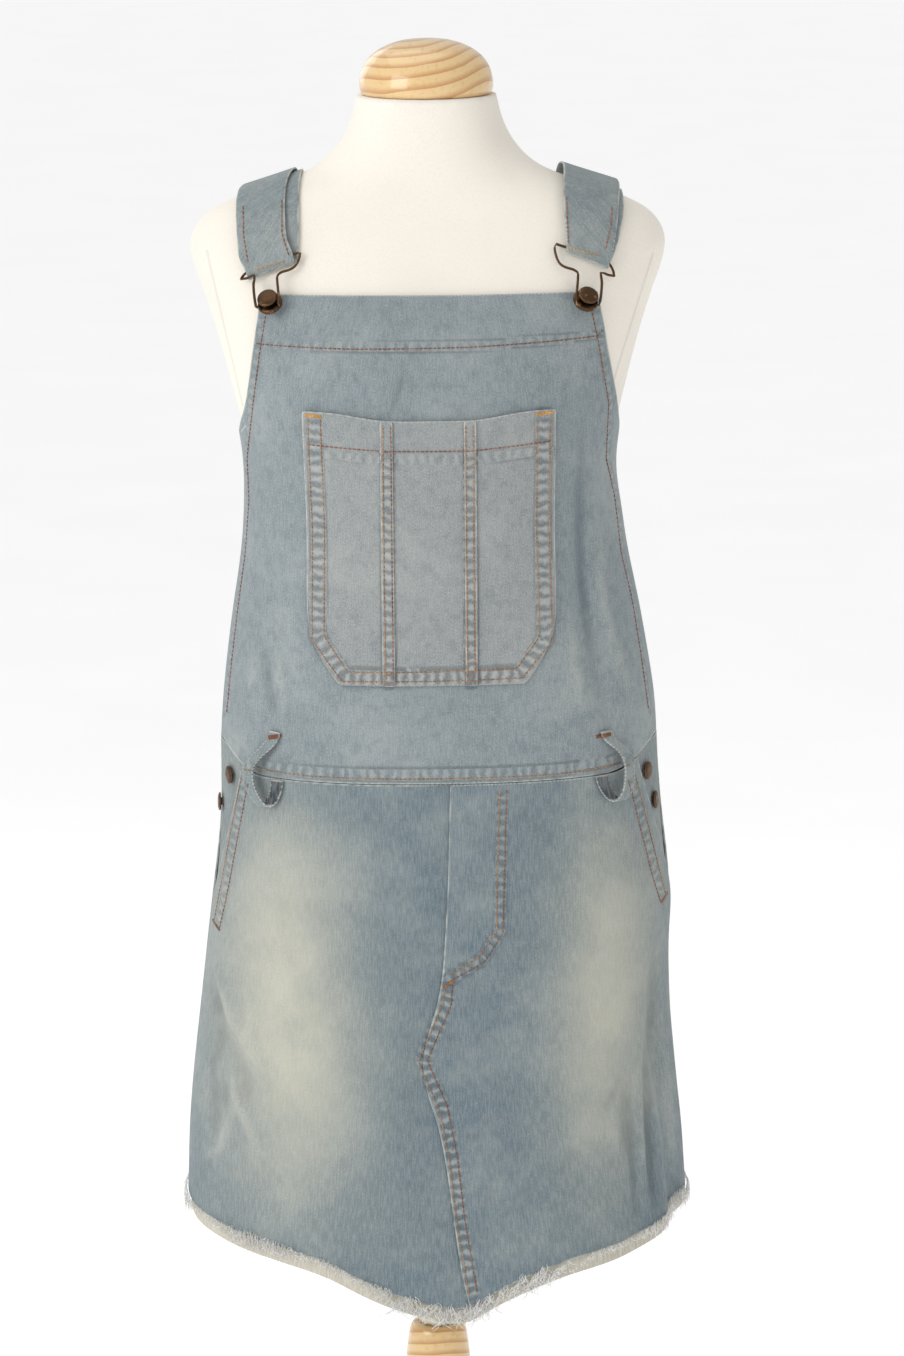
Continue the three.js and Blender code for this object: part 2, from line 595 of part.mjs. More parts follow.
const capShape = [
  { r: 0, z: 0.3 }, { r: 50.5, z: 0.3 }, { r: 52.6, z: 3 }, { r: 53, z: 8 }, { r: 52, z: 16 },
  { r: 48.5, z: 25 }, { r: 41, z: 33 }, { r: 29, z: 39.6 }, { r: 15, z: 42.8 }, { r: 0, z: CAP.height },
];
add('neck_cap', turned(capShape, 36).translate(0, 0, FORM_TOP), PINE);

const postShape = [
  { r: 0, z: POST.bottom }, { r: POST.radius, z: POST.bottom },
  { r: POST.radius, z: FORM_BOTTOM - SEAM_GAP }, { r: 0, z: FORM_BOTTOM - SEAM_GAP },
];
add('post', turned(postShape, 24), WHITE);

const columnShape = [
  { r: 0, z: COLUMN.bottom }, { r: 44, z: COLUMN.bottom }, { r: 44, z: 40 }, { r: 34, z: 56 }, { r: 30, z: 90 },
  { r: 33, z: 150 }, { r: 35, z: 230 }, { r: 32, z: 310 }, { r: 25, z: 372 }, { r: 23, z: 384 },
  { r: 27, z: 390 }, { r: 28, z: 404 }, { r: 27, z: 418 }, { r: 24.4, z: 440 }, { r: 23, z: 446 },
  { r: 21, z: COLUMN.top }, { r: 0, z: COLUMN.top },
];
add('stand_column', turned(columnShape, 20), PINE);

const baseShape = [
  { r: 0, z: 0 }, { r: BASE.radius - 4, z: 0 }, { r: BASE.radius, z: 4 }, { r: BASE.radius, z: 14 },
  { r: BASE.radius - 8, z: 22 }, { r: BASE.radius - 20, z: BASE.height }, { r: 0, z: BASE.height },
];
add('stand_base', turned(baseShape, 40), PINE);

// ---------------------------------------------------------------- the bib and its pocket
const bibFrom = (z) => turnAt(-read(BIB_EDGE, 'z', z, 'left', true), z);
const bibTo = (z) => turnAt(read(BIB_EDGE, 'z', z, 'right', true), z);
add('bib_front', panel({
  from: bibFrom, to: bibTo, low: (t) => waistSeam(t) + SEAM_GAP, high: () => BIB_TOP,
  across: spread(26), levels: [926, 950, 975, 1000, 1030, 1060, 1090, 1120, 1145, 1168, 1185, 1200, 1215,
    1230, 1250, 1270, 1288, BIB_TOP],
}), DENIM);

const pocketRise = (z) => POCKET.hemRise * smooth((z - POCKET.hemAt) / 5);
const pocketTop = (turn) => POCKET.top + POCKET.corner * smooth((Math.abs(turn) - 14) / 22);
const pocketOut = CLOTH + POCKET_GAP;
add('bib_pocket', panel({
  from: (z) => turnAt(-read(POCKET_EDGE, 'z', z, 'left'), z),
  to: (z) => turnAt(read(POCKET_EDGE, 'z', z, 'right'), z),
  low: () => POCKET.bottom, high: pocketTop, across: spread(14), levels: POCKET_LEVELS,
  out: () => pocketOut, thick: (_, z) => TRIM + pocketRise(z),
}), DENIM_PALE);
FELLS.forEach(({ name, from, to }) => add(name, panel({
  from: (z) => turnAt(from, z), to: (z) => turnAt(to, z),
  low: () => POCKET.bottom, high: pocketTop, across: spread(1), levels: POCKET_LEVELS,
  out: (_, z) => pocketOut + TRIM + LAYER_GAP + pocketRise(z), thick: () => 1,
}), DENIM_PALE));

// ---------------------------------------------------------------- the skirt
const skirtLevels = [522, 545, 580, 629, 666, 704, 751, 780, 810, 848, 890, WAIST.z];
const skirtHigh = (t) => waistSeam(t) - SEAM_GAP;
const skirtSide = (z, side) => Math.min(SIDE_SEAM - 0.05, read(SLANT, 'z', z, side));
const leftAcross = [0, 0.04, 0.085, 0.13, 0.175, 0.22, 0.29, 0.37, 0.46, 0.55, 0.64, 0.73, 0.8, 0.86, 0.9, 0.94,
  0.97, 1];
const rightAcross = [0, 0.04, 0.09, 0.15, 0.22, 0.3, 0.38, 0.46, 0.54, 0.61, 0.68, 0.735, 0.78, 0.825, 0.87, 0.915,
  0.96, 1];

add('skirt_front_left', panel({
  from: (z) => -skirtSide(z, 'left'),
  to: lapTurn,
  low: hemLine, high: skirtHigh, across: leftAcross, levels: skirtLevels,
  out: (turn, z) => -lapStep(turn, z, false),
}), DENIM);
add('skirt_front_right', panel({
  from: centreTurn, to: (z) => skirtSide(z, 'right'),
  low: hemLine, high: skirtHigh, across: rightAcross, levels: skirtLevels,
}), DENIM);

const backAcross = spread(30);
const backFrom = SIDE_SEAM + 0.05;
const backTo = 360 - SIDE_SEAM - 0.05;
add('skirt_back', panel({
  from: () => backFrom, to: () => backTo, low: hemLine, high: skirtHigh,
  across: backAcross, levels: [566, 610, 660, 710, 760, 810, 860, 900, WAIST.z],
}), DENIM);

const backEdge = (z) => {
  const half = read(BACK_EDGE, 'z', z, 'half', true);
  return Math.max(backFrom, Math.abs(turnAt(half, z, true)));
};
add('bodice_back', panel({
  from: backEdge, to: (z) => 360 - backEdge(z),
  low: (t) => waistSeam(t) + SEAM_GAP, high: () => BACK_TOP, across: spread(22),
  levels: [WAIST.z, 960, 1000, 1040, 1080, 1115, 1150, BACK_TOP],
}), DENIM);

// Pocket facings with the button plackets. They lie under the slanted pocket edges and come up
// level with the back panel at the side seam.
const facingDepth = -(LAYER_GAP + TRIM);
const hipDepth = (turn, z) => {
  const beyond = Math.abs(turn) - read(SLANT, 'z', z, turn < 0 ? 'left' : 'right') - 3;
  return (facingDepth - 0.7) * (1 - smooth(beyond / 12));
};
[['left', -1], ['right', 1]].forEach(([name, side]) => {
  const seam = side * (SIDE_SEAM - 0.05);
  const inner = (z) => side * (Math.min(SIDE_SEAM - 2, read(SLANT, 'z', z, name)) - 6);
  add(`hip_facing_${name}`, panel({
    from: side < 0 ? () => seam : inner, to: side < 0 ? inner : () => seam,
    low: () => 790, high: (t) => skirtHigh(t) - 1, across: spread(10), levels: [790, 815, 840, 865, 895, WAIST.z],
    out: hipDepth, thick: () => TRIM,
  }), DENIM_DARK);
});

// ---------------------------------------------------------------- hem facing and frayed edge
const centreHem = hemLine(8);
const hemCentre = centreTurn(centreHem);
const lapEdge = lapTurn(centreHem);
const hemTurns = [
  ...leftAcross.map((s) => mix(-SIDE_SEAM + 0.05, lapEdge, s)),
  ...rightAcross.map((s) => mix(hemCentre, SIDE_SEAM - 0.05, s)).filter((turn) => turn > lapEdge + 2),
];
const frontHem = hemTurns.map((t) => (t - hemTurns[0]) / (hemTurns[hemTurns.length - 1] - hemTurns[0]));
const hemFacing = (from, to, across, lap) => panel({
  from: () => from, to: () => to, low: (t) => hemLine(t) - HEM_FACING.below,
  high: (t) => hemLine(t) + HEM_FACING.above, across, levels: [0, 12, 42],
  out: (turn, z) => facingDepth - 0.6 - (lap ? lapStep(turn, z, true) : 0), thick: () => TRIM,
});
add('hem_facing_front', hemFacing(-SIDE_SEAM + 0.05, SIDE_SEAM - 0.05, frontHem, true), FACING);
add('hem_facing_back', hemFacing(backFrom, backTo, backAcross, false), FACING);

const fringe = (from, to, across, lap) => panel({
  from, to, low: (t) => hemLine(t) - FRINGE, high: (t) => hemLine(t) - SEAM_GAP, across, levels: [0, 1],
  out: (turn, z) => (lap ? -lapStep(turn, z, false) : 0) + 0.1, thick: () => TRIM,
});
add('hem_fringe_front_left', fringe(() => -SIDE_SEAM + 0.05, lapTurn, leftAcross, true), FRINGE_WHITE);
add('hem_fringe_front_right', fringe(centreTurn, () => SIDE_SEAM - 0.05, rightAcross, false), FRINGE_WHITE);
add('hem_fringe_back', fringe(() => backFrom, () => backTo, backAcross, false), FRINGE_WHITE);

// ---------------------------------------------------------------- straps, buckles, loops and buttons
const buttonShape = [
  { r: 0, z: -3.4 }, { r: 3, z: -3.4 }, { r: 3, z: 0 }, { r: 9.6, z: 0 }, { r: 10.4, z: 1.2 }, { r: 10, z: 2.8 },
  { r: 8.4, z: 3.7 }, { r: 4, z: 4.1 }, { r: 4, z: 7.6 }, { r: 7.6, z: 7.8 }, { r: 8.2, z: 8.6 },
  { r: 7.8, z: 9.7 }, { r: 5, z: 10.5 }, { r: 0, z: 10.8 },
];
const up = new THREE.Vector3(0, 0, 1);
STRAPS.forEach((strap) => {
  add(`strap_${strap.name}`, strapSolid(strap), DENIM);
  const { point, axis } = buttonSeat(strap.side);
  const button = turned(buttonShape, 20).applyQuaternion(new THREE.Quaternion().setFromUnitVectors(up, axis));
  add(`bib_button_${strap.name}`, button.translate(point.x, point.y, point.z), BRONZE, true);
  const points = bucklePoints(strap);
  add(`buckle_${strap.name}`, wire(points, WIRE_RADIUS, 6), BRONZE, true);
});

LOOPS.forEach((loop) => add(loop.name, loopSolid(loop), DENIM));

const sideButtonShape = [
  { r: 0, z: 0.7 }, { r: 3.2, z: 0.7 }, { r: 3.2, z: 1.8 }, { r: 7.4, z: 1.9 }, { r: 7.5, z: 3 },
  { r: 5.6, z: 4 }, { r: 0, z: 4.2 },
];
SIDE_BUTTONS.forEach(({ name, x, z, spare }) => {
  const turn = turnAt(x, z);
  const seat = place(turn, z, hipDepth(turn, z) + TRIM + spare);
  const button = turned(sideButtonShape, 16);
  button.applyQuaternion(new THREE.Quaternion().setFromUnitVectors(up, skinNormal(turn, z)));
  add(name, button.translate(seat.x, seat.y, seat.z), BRONZE, true);
});

export default part;
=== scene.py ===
import math
import random

import bmesh
import bpy
import numpy as np
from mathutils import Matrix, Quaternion, Vector, noise
from mathutils.bvhtree import BVHTree
from mathutils.kdtree import KDTree


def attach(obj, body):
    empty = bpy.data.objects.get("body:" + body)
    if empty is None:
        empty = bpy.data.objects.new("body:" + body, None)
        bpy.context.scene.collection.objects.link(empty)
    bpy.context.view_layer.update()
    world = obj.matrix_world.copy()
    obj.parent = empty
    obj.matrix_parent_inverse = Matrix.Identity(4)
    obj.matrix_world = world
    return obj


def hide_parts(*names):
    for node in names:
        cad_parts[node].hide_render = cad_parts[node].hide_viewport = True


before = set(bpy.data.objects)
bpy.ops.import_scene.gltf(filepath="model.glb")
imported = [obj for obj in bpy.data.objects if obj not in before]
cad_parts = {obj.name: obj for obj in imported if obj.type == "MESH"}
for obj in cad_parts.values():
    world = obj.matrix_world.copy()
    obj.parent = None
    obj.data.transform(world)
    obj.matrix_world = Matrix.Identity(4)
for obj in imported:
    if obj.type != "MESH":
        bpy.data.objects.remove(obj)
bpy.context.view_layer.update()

bl_info = {
    "name": "Denim dungaree dress on a form",
    "version": (1, 0, 0),
    "blender": (4, 5, 0),
    "location": "3D Viewport > Sidebar > Dungaree dress",
    "description": "Makes the stone-washed dungaree dress, its metal fittings and its dress form",
    "category": "Add Mesh",
}

MM = 0.001
BODY = "root"
SIDES = ("left", "right")

# Cloth grain: distance round the body is the angle times this radius.
GRAIN_RADIUS = 0.165
# Edges that turn more than this stay sharp.
SHARP = math.radians(50)


def table(columns, *rows):
    """The rows of a short table, each as a dictionary by column name."""
    names = columns.split()
    return [dict(zip(names, row)) for row in rows]


# Folds and creases set in the cloth: half width and depth, and points as (across, up), all in mm.
# A negative depth stands out. side is the face of the dress that they lie on.
# Their depth also colours the cloth: raised folds paler as whisker fading and painted highlight, troughs
# darker as painted shade.
CREASES = table(
    "side width depth points",
    ("front", 6, 2.2, [(120, 1213), (117, 1150), (119, 1080), (128, 1010), (140, 962)]),
    ("front", 7, -2.4, [(129, 1120), (134, 1070), (146, 1020), (160, 975)]),
    ("front", 5, 1.6, [(136, 1085), (146, 1040), (160, 1000)]),
    ("front", 6, -1.8, [(108, 1060), (112, 1010), (120, 975)]),
    ("front", 3.2, 1.5, [(-15, 1258), (-22, 1238), (-30, 1216)]),
    ("front", 5, -0.9, [(-34, 1250), (-44, 1222)]),
    ("front", 6, 2.0, [(-133, 1040), (-129, 1000), (-122, 972)]),
    ("front", 5, -1.7, [(-121, 1030), (-116, 990), (-118, 965)]),
    ("front", 5, -1.6, [(-140, 1020), (-141, 985)]),
    ("front", 4.5, 3.4, [(-176, 755), (-171, 710), (-179, 683)]),
    ("front", 4.5, -3.0, [(-176, 757), (-160, 723), (-142, 701), (-134, 690)]),
    ("front", 5, 2.4, [(-163, 712), (-154, 688), (-150, 660)]),
    ("front", 4, -2.0, [(-149, 748), (-147, 718), (-142, 698)]),
    ("front", 4, 1.6, [(-154, 752), (-153, 722)]),
    ("front", 4.5, -2.8, [(-159, 694), (-160, 671), (-147, 642), (-140, 625)]),
    ("front", 5, 2.0, [(-150, 690), (-149, 668)]),
    ("front", 4.5, 2.8, [(-179, 683), (-178, 655), (-176, 622)]),
    ("front", 5, 2.0, [(-169, 680), (-168, 640)]),
    ("front", 5, -2.6, [(-160, 663), (-171, 625), (-184, 608)]),
    ("front", 4, 2.6, [(152, 673), (148, 648), (151, 620)]),
    ("front", 4, 3.0, [(156, 680), (155, 648), (158, 609), (160, 566)]),
    ("front", 4, 2.2, [(153, 687), (143, 670), (133, 655)]),
    ("front", 6, -1.8, [(144, 660), (143, 620)]),
    ("front", 4, -2.6, [(164, 673), (166, 592)]),
    ("front", 4.5, 5.0, [(175, 772), (173, 716), (170, 683), (169, 640), (172, 600), (176, 572)]),
    ("front", 7, -2.0, [(183, 700), (186, 640), (191, 580)]),
    ("front", 9, 1.0, [(-58, 905), (-90, 850)]),
    ("front", 8, 1.2, [(70, 900), (112, 868)]),
    ("front", 6, -1.0, [(118, 905), (100, 872)]),
    ("front", 8, 0.9, [(20, 700), (62, 690)]),
    ("front", 9, -1.0, [(-40, 640), (-70, 610)]),
    ("back", 9, 1.8, [(-60, 900), (-20, 850)]),
    ("back", 10, 2.0, [(70, 890), (34, 835)]),
    ("back", 10, -2.2, [(-122, 770), (-140, 730), (-150, 690)]),
    ("back", 6, 2.4, [(-104, 740), (-118, 690), (-120, 640)]),
    ("back", 6, 2.8, [(112, 745), (128, 700), (140, 640)]),
    ("back", 10, -2.0, [(150, 700), (152, 620)]),
    ("back", 9, 1.8, [(-30, 700), (-36, 600)]),
    ("back", 7, 1.5, [(-40, 1120), (-60, 1010)]),
    ("back", 10, -1.4, [(52, 1090), (60, 985)]),
    ("back", 6, 2.0, [(112, 1010), (128, 965)]),
    ("back", 8, -1.4, [(-118, 1000), (-132, 962)]),
)

# Stitch rows: the face of the dress, the thread, and points as (across, up) in mm.
STITCH_ROWS = table(
    "side thread points",
    ("front", "rust", [(-133, 1268), (-60, 1267), (30, 1268), (134, 1272)]),
    ("front", "rust", [(-124, 1300), (-130, 1265), (-137, 1218), (-143, 1172), (-142, 1140),
         (-146, 1095), (-152, 1055), (-158, 1010), (-163, 965)]),
    ("front", "rust", [(125, 1300), (132, 1265), (140, 1218), (138, 1172), (145, 1140), (150, 1095),
         (159, 1055), (166, 1010), (172, 965)]),
    ("front", "rust", [(-94, 1194), (-34, 1190.5), (34, 1190.5), (95, 1195)]),
    ("front", "amber", [(-93.5, 1214), (-91, 1126), (-92.5, 1040), (-69.5, 1008.5), (71, 1010),
         (94.5, 1038), (92.3, 1126), (93.6, 1214)]),
    ("front", "amber", [(-83.5, 1214), (-81.5, 1126), (-83, 1044), (-65, 1016), (66.5, 1017.5),
         (84.5, 1042), (82.6, 1126), (83.6, 1214)]),
    ("front", "amber", [(-35.4, 1210), (-35.6, 1110), (-35.4, 1008)]),
    ("front", "rust", [(-29.2, 1210), (-29.4, 1110), (-29.4, 1008)]),
    ("front", "amber", [(28.2, 1210), (28.2, 1110), (28.4, 1008)]),
    ("front", "amber", [(34.1, 1210), (33.9, 1110), (34.0, 1008)]),
    ("front", "amber", [(-152, 932), (-100, 930.5), (0, 930.5), (100, 930.5), (158, 933)]),
    ("front", "rust", [(58, 920), (55.5, 842), (54.5, 806), (40, 783), (9, 766)]),
    ("front", "amber", [(52.5, 920), (50, 842), (49.5, 808), (36, 787.5), (10, 771)]),
    ("front", "amber", [(8.3, 762), (7, 751), (-13, 704), (3, 667), (10.5, 629), (16, 580),
         (25.6, 518)]),
    ("front", "rust", [(14.5, 765), (13.2, 749), (-6, 705.5), (9.5, 669), (17, 629), (22.5, 579),
         (32, 520)]),
    ("front", "amber", [(-151, 921), (-160, 878), (-169, 832), (-176, 796)]),
    ("front", "rust", [(-145, 921), (-154, 876), (-163, 830), (-171, 794)]),
    ("front", "amber", [(160, 921), (170, 880), (180, 838), (186, 815)]),
    ("front", "rust", [(154, 921), (164, 878), (174, 836), (181, 812)]),
    ("front", "rust", [(-139, 1330), (-142.5, 1350), (-143, 1372)]),
    ("front", "rust", [(-107, 1336), (-112.5, 1352), (-112.5, 1378)]),
    ("front", "rust", [(138, 1338), (142.5, 1355), (144, 1372)]),
    ("front", "rust", [(109, 1343), (108.5, 1358), (108, 1380)]),
    ("front", "gold", [(-133, 1325), (-118, 1329), (-107, 1333)]),
    ("front", "gold", [(109, 1340), (122, 1336), (134, 1333)]),
    ("back", "amber", [(-163, 951), (0, 951), (163, 951)]),
    ("back", "rust", [(-90, 1169), (0, 1169), (90, 1169)]),
    ("back", "rust", [(-162, 965), (-142, 1012), (-115, 1071), (-96, 1130), (-88, 1172)]),
    ("back", "rust", [(162, 965), (142, 1012), (115, 1071), (96, 1130), (88, 1172)]),
    ("back", "amber", [(-4, 938), (-4, 760), (-4, 585)]),
    ("back", "rust", [(3, 938), (3, 760), (3, 585)]),
)

# Bar tacks: short bars of close thread on the front, mm.
TACKS = table(
    "thread rise ends",
    ("gold", 2.6, ((-95, 1216.5), (-83, 1216))),
    ("gold", 2.6, ((95, 1217), (83, 1216.5))),
    ("rust", 3.4, ((-128, 958.5), (-118, 961))),
    ("rust", 3.4, ((129, 957), (140, 958.5))),
    ("amber", 2.0, ((7, 763), (15, 768))),
    ("rust", 2.6, ((-177, 797), (-171, 793))),
    ("rust", 2.6, ((187, 816), (181, 812))),
)
STITCH = {"length": 2.8, "pitch": 3.5, "radius": 0.5, "sides": 5, "sink": 0.2 * MM, "longest": 7 * MM}
TACK = {"pitch": 0.85, "radius": 0.45}

# Seams that pucker in light and dark rungs: half width in mm, strength, and the points of the middle line.
LADDERS = table(
    "side half strength points",
    ("front", 5.5, 1.0, [(-88.5, 1214), (-86.2, 1126), (-87.8, 1042), (-67, 1012), (69, 1013),
         (89.5, 1040), (87.4, 1126), (88.6, 1214)]),
    ("front", 4.2, 0.9, [(-32.3, 1188), (-32.5, 1110), (-32.4, 1008)]),
    ("front", 4.2, 0.9, [(31.1, 1188), (31, 1110), (31.2, 1008)]),
    ("front", 3.5, 0.45, [(-92, 1187), (-34, 1184.5), (34, 1184.5), (93, 1188)]),
    ("front", 4.5, 0.6, [(-150, 936), (-100, 934.5), (0, 934.5), (100, 934.5), (156, 937)]),
    ("front", 3.5, 0.4, [(-132, 1269), (-60, 1268), (30, 1269), (133, 1273)]),
    ("front", 5.0, 1.0, [(11.4, 763), (10.1, 750), (-9.5, 705), (6.2, 668), (13.7, 629), (19.2, 579),
         (29, 515)]),
    ("front", 4.0, 0.65, [(55.2, 920), (52.8, 842), (52, 807), (38, 785), (10, 768.5)]),
    ("front", 4.5, 0.6, [(-148, 921), (-157, 877), (-166, 831), (-173, 795)]),
    ("front", 4.5, 0.6, [(157, 921), (167, 879), (177, 837), (184, 813)]),
    ("front", 3.2, 0.4, [(-127, 1300), (-132, 1265), (-139, 1218), (-145, 1172), (-144, 1140),
         (-148, 1095), (-154, 1055), (-160, 1010), (-165, 965)]),
    ("front", 3.2, 0.4, [(128, 1300), (134, 1265), (142, 1218), (140, 1172), (147, 1140), (152, 1095),
         (161, 1055), (168, 1010), (174, 965)]),
    ("back", 4.5, 0.6, [(-160, 950), (0, 950), (160, 950)]),
    ("back", 3.5, 0.5, [(-90, 1172), (0, 1172), (90, 1172)]),
)
RUNG = 8.2 * MM

# Below this height a belt loop stands away from the bib, and its inner face shows; that face is painted near
# black as painted shade.
LOOP_FOLD_TOP = 0.948

# The cloth's slight unevenness: its height, and how quickly it varies along each axis. It dies out upwards,
# from the full amount below the first height to none above the second.
UNEVEN = {"height": 1.1 * MM, "along": (9, 9, 6), "full_below": 1.0, "none_above": 1.12}

# Loose yarns of the hem: each is a bent line of a few runs. Steps are angles in radians.
YARN = {"runs": 5, "sides": 3, "sway": 1.1, "curl": 3 * MM, "bow": (-0.8 * MM, 3.4 * MM),
        "radius": (0.15 * MM, 0.30 * MM), "step": (0.0030, 0.0062), "scatter": (0, 0.002),
        "proud": (0.4 * MM, 1.2 * MM), "least_reach": 0.16, "least_lap": 1.2 * MM, "more_lap": 5.5 * MM,
        "most_a_step": 1.7}

# Where the hem is frayed most: angle round the body and half width in degrees, and how strongly.
FRAY = table(
    "turn width amount",
    (-84, 6, 0.9), (-52, 12, 1.0), (-30, 5, 0.35), (-10, 10, 1.0), (3, 5, 0.9),
    (13, 6, 0.9), (28, 7, 1.0), (48, 6, 0.3), (66, 7, 0.6), (82, 8, 1.0),
    (110, 12, 0.8), (146, 9, 0.9), (176, 14, 0.7), (208, 10, 1.0), (242, 11, 0.8),
)

# Wash and fading on the skirt: centre and half size in metres, and how strong.
FADES = table(
    "x z rx rz strength",
    (-0.118, 0.775, 0.052, 0.125, 1.0),
    (0.138, 0.775, 0.042, 0.125, 0.85),
    (-0.12, 0.65, 0.07, 0.1, 0.45),
    (0.128, 0.66, 0.04, 0.09, 0.35),
)

# Linear colours.
COLOUR = {
    "bib": (0.278, 0.326, 0.344, 1),
    "pocket": (0.350, 0.370, 0.372, 1),
    "skirt": (0.166, 0.222, 0.254, 1),
    "back": (0.185, 0.228, 0.244, 1),
    "strap": (0.250, 0.292, 0.300, 1),
    "facing_blue": (0.230, 0.268, 0.272, 1),
    "dark": (0.060, 0.090, 0.115, 1),
    "pale": (0.600, 0.610, 0.560, 1),
    "faded": (0.560, 0.545, 0.440, 1),
    # Painted shade inside the belt loops' fold.
    "inside": (0.035, 0.042, 0.055, 1),
    "jersey": (0.905, 0.850, 0.760, 1),
    "hem_band": (0.560, 0.525, 0.430, 1),
    "yarn": (0.880, 0.870, 0.830, 1),
    "pine": (0.800, 0.560, 0.270, 1),
    "pine_dark": (0.520, 0.235, 0.070, 1),
    "bronze": (0.095, 0.055, 0.030, 1),
    "bronze_worn": (0.400, 0.235, 0.125, 1),
    "post": (0.780, 0.740, 0.640, 1),
    "rust": (0.240, 0.100, 0.055, 1),
    "amber": (0.340, 0.185, 0.085, 1),
    "gold": (0.560, 0.300, 0.095, 1),
    "floor": (0.820, 0.820, 0.820, 1),
    "floor_dull": (0.800, 0.800, 0.800, 1),
    "hem_shade": (0.360, 0.340, 0.280, 1),
    "post_dull": (0.700, 0.670, 0.600, 1),
    "white": (1, 1, 1, 1),
}

# Armhole seams of the form's cover in the front view, metres.
FORM_SEAMS = [((0.176, 1.330), (0.133, 1.200)), ((-0.172, 1.335), (-0.146, 1.215))]

# Studio: soft square lamps that face the middle of the dress, in metres and watts, and even light.
LAMPS = table(
    "name place size power",
    ("key", (-2.9, -2.6, 2.4), 2.2, 58),
    ("fill", (2.2, -3.4, 1.6), 2.6, 5),
    ("top", (-0.6, 0.2, 3.6), 2.2, 14),
    ("back_left", (-1.6, 2.8, 2.2), 1.8, 10),
)
GLOW = {"floor": 0.42, "sky": 0.62}
FLOOR_RADIUS = 70

CAMERA = {"distance": 4.14, "height": 1.826, "across": 0.0161, "pitch": 11.46, "roll": -0.504, "lens": 140.26}


# ------------------------------------------------------------------ settings
class DressSettings(bpy.types.PropertyGroup):
    """Sizes and colours of the dress that a user would change."""

    denim_blue: bpy.props.FloatVectorProperty(
        name="Denim", description="Washed denim of the skirt", subtype="COLOR", size=4,
        default=COLOUR["skirt"], min=0, max=1)
    bib_blue: bpy.props.FloatVectorProperty(
        name="Bib denim", description="Paler denim of the bib", subtype="COLOR", size=4,
        default=COLOUR["bib"], min=0, max=1)
    jersey: bpy.props.FloatVectorProperty(
        name="Form cover", description="Stretched jersey of the dress form", subtype="COLOR", size=4,
        default=COLOUR["jersey"], min=0, max=1)
    fade: bpy.props.FloatProperty(
        name="Fading", description="Strength of the pale thigh fades", default=0.86, min=0, max=1,
        subtype="FACTOR")
    weave: bpy.props.FloatProperty(
        name="Twill rib", description="Distance between the twill's diagonal ribs", default=1.1 * MM,
        min=0.2 * MM, max=5 * MM, unit="LENGTH")
    fringe: bpy.props.FloatProperty(
        name="Fringe", description="Longest thread of the frayed hem", default=12 * MM,
        min=1 * MM, max=30 * MM, unit="LENGTH")


# ------------------------------------------------------------------ node helpers
class Nodes:
    """Adds nodes to a tree and joins them, so a material reads in the order it is built."""

    def __init__(self, tree):
        self.tree = tree

    def put(self, kind, inputs=None, **settings):
        node = self.tree.nodes.new(kind)
        for key, value in settings.items():
            setattr(node, key, value)
        for key, value in (inputs or {}).items():
            if isinstance(value, bpy.types.NodeSocket):
                self.tree.links.new(value, node.inputs[key])
            else:
                node.inputs[key].default_value = value
        return node

    def math(self, operation, a, b=0.0, c=None, clamp=False):
        inputs = {0: a, 1: b}
        if c is not None:
            inputs[2] = c
        return self.put("ShaderNodeMath", inputs, operation=operation, use_clamp=clamp).outputs[0]

    def mix(self, factor, a, b):
        node = self.put("ShaderNodeMix", data_type="RGBA", blend_type="MIX")
        for key, value in ((0, factor), (6, a), (7, b)):
            if isinstance(value, bpy.types.NodeSocket):
                self.tree.links.new(value, node.inputs[key])
            else:
                node.inputs[key].default_value = value
        return node.outputs[2]

    def noise(self, place, scale, detail, dimensions="3D", **more):
        inputs = {"Vector": place, "Scale": scale, "Detail": detail, **more}
        return self.put("ShaderNodeTexNoise", inputs, noise_dimensions=dimensions).outputs[0]

    def stored(self, name):
        """A number that the mesh keeps for each vertex."""
        return self.put("ShaderNodeAttribute", attribute_name=name).outputs["Fac"]

    def place(self):
        return self.put("ShaderNodeTexCoord").outputs["Object"]

    def bump(self, height, strength, distance, under=None, **settings):
        """A bump, on top of another one where it is given."""
        inputs = {"Height": height, "Strength": strength, "Distance": distance}
        if under is not None:
            inputs["Normal"] = under
        return self.put("ShaderNodeBump", inputs, **settings).outputs[0]

    def join(self, socket, target):
        self.tree.links.new(socket, target)

    def line(self, place, start, finish, half):
        """Mask of a straight line in the front view, from start to finish as (across, up) in metres."""
        split = self.put("ShaderNodeSeparateXYZ", {0: place})
        flat = self.put("ShaderNodeCombineXYZ", {0: split.outputs[0], 1: split.outputs[2]}).outputs[0]
        run = (Vector(finish) - Vector(start)).to_3d()
        rest = self.put("ShaderNodeVectorMath", {0: flat, 1: (*start, 0)}, operation="SUBTRACT").outputs[0]
        share = self.put("ShaderNodeVectorMath", {0: rest, 1: run / run.length_squared},
                         operation="DOT_PRODUCT").outputs["Value"]
        kept = self.math("MINIMUM", self.math("MAXIMUM", share, 0.0), 1.0)
        foot = self.put("ShaderNodeVectorMath", {0: run, "Scale": kept}, operation="SCALE").outputs[0]
        gap = self.put("ShaderNodeVectorMath", {0: rest, 1: foot}, operation="DISTANCE").outputs["Value"]
        return self.span(gap, half * 0.3, half, 1.0, 0.0)

    def span(self, value, low, high, to_low=0.0, to_high=1.0):
        inputs = {0: value, 1: low, 2: high, 3: to_low, 4: to_high}
        return self.put("ShaderNodeMapRange", inputs, interpolation_type="SMOOTHSTEP").outputs[0]


def new_group(name, inputs, outputs):
    group = bpy.data.node_groups.new(name, "ShaderNodeTree")
    for label, kind, default in inputs:
        socket = group.interface.new_socket(label, in_out="INPUT", socket_type=kind)
        if default is not None:
            socket.default_value = default
    for label, kind in outputs:
        group.interface.new_socket(label, in_out="OUTPUT", socket_type=kind)
    n = Nodes(group)
    return group, n, n.put("NodeGroupInput"), n.put("NodeGroupOutput")


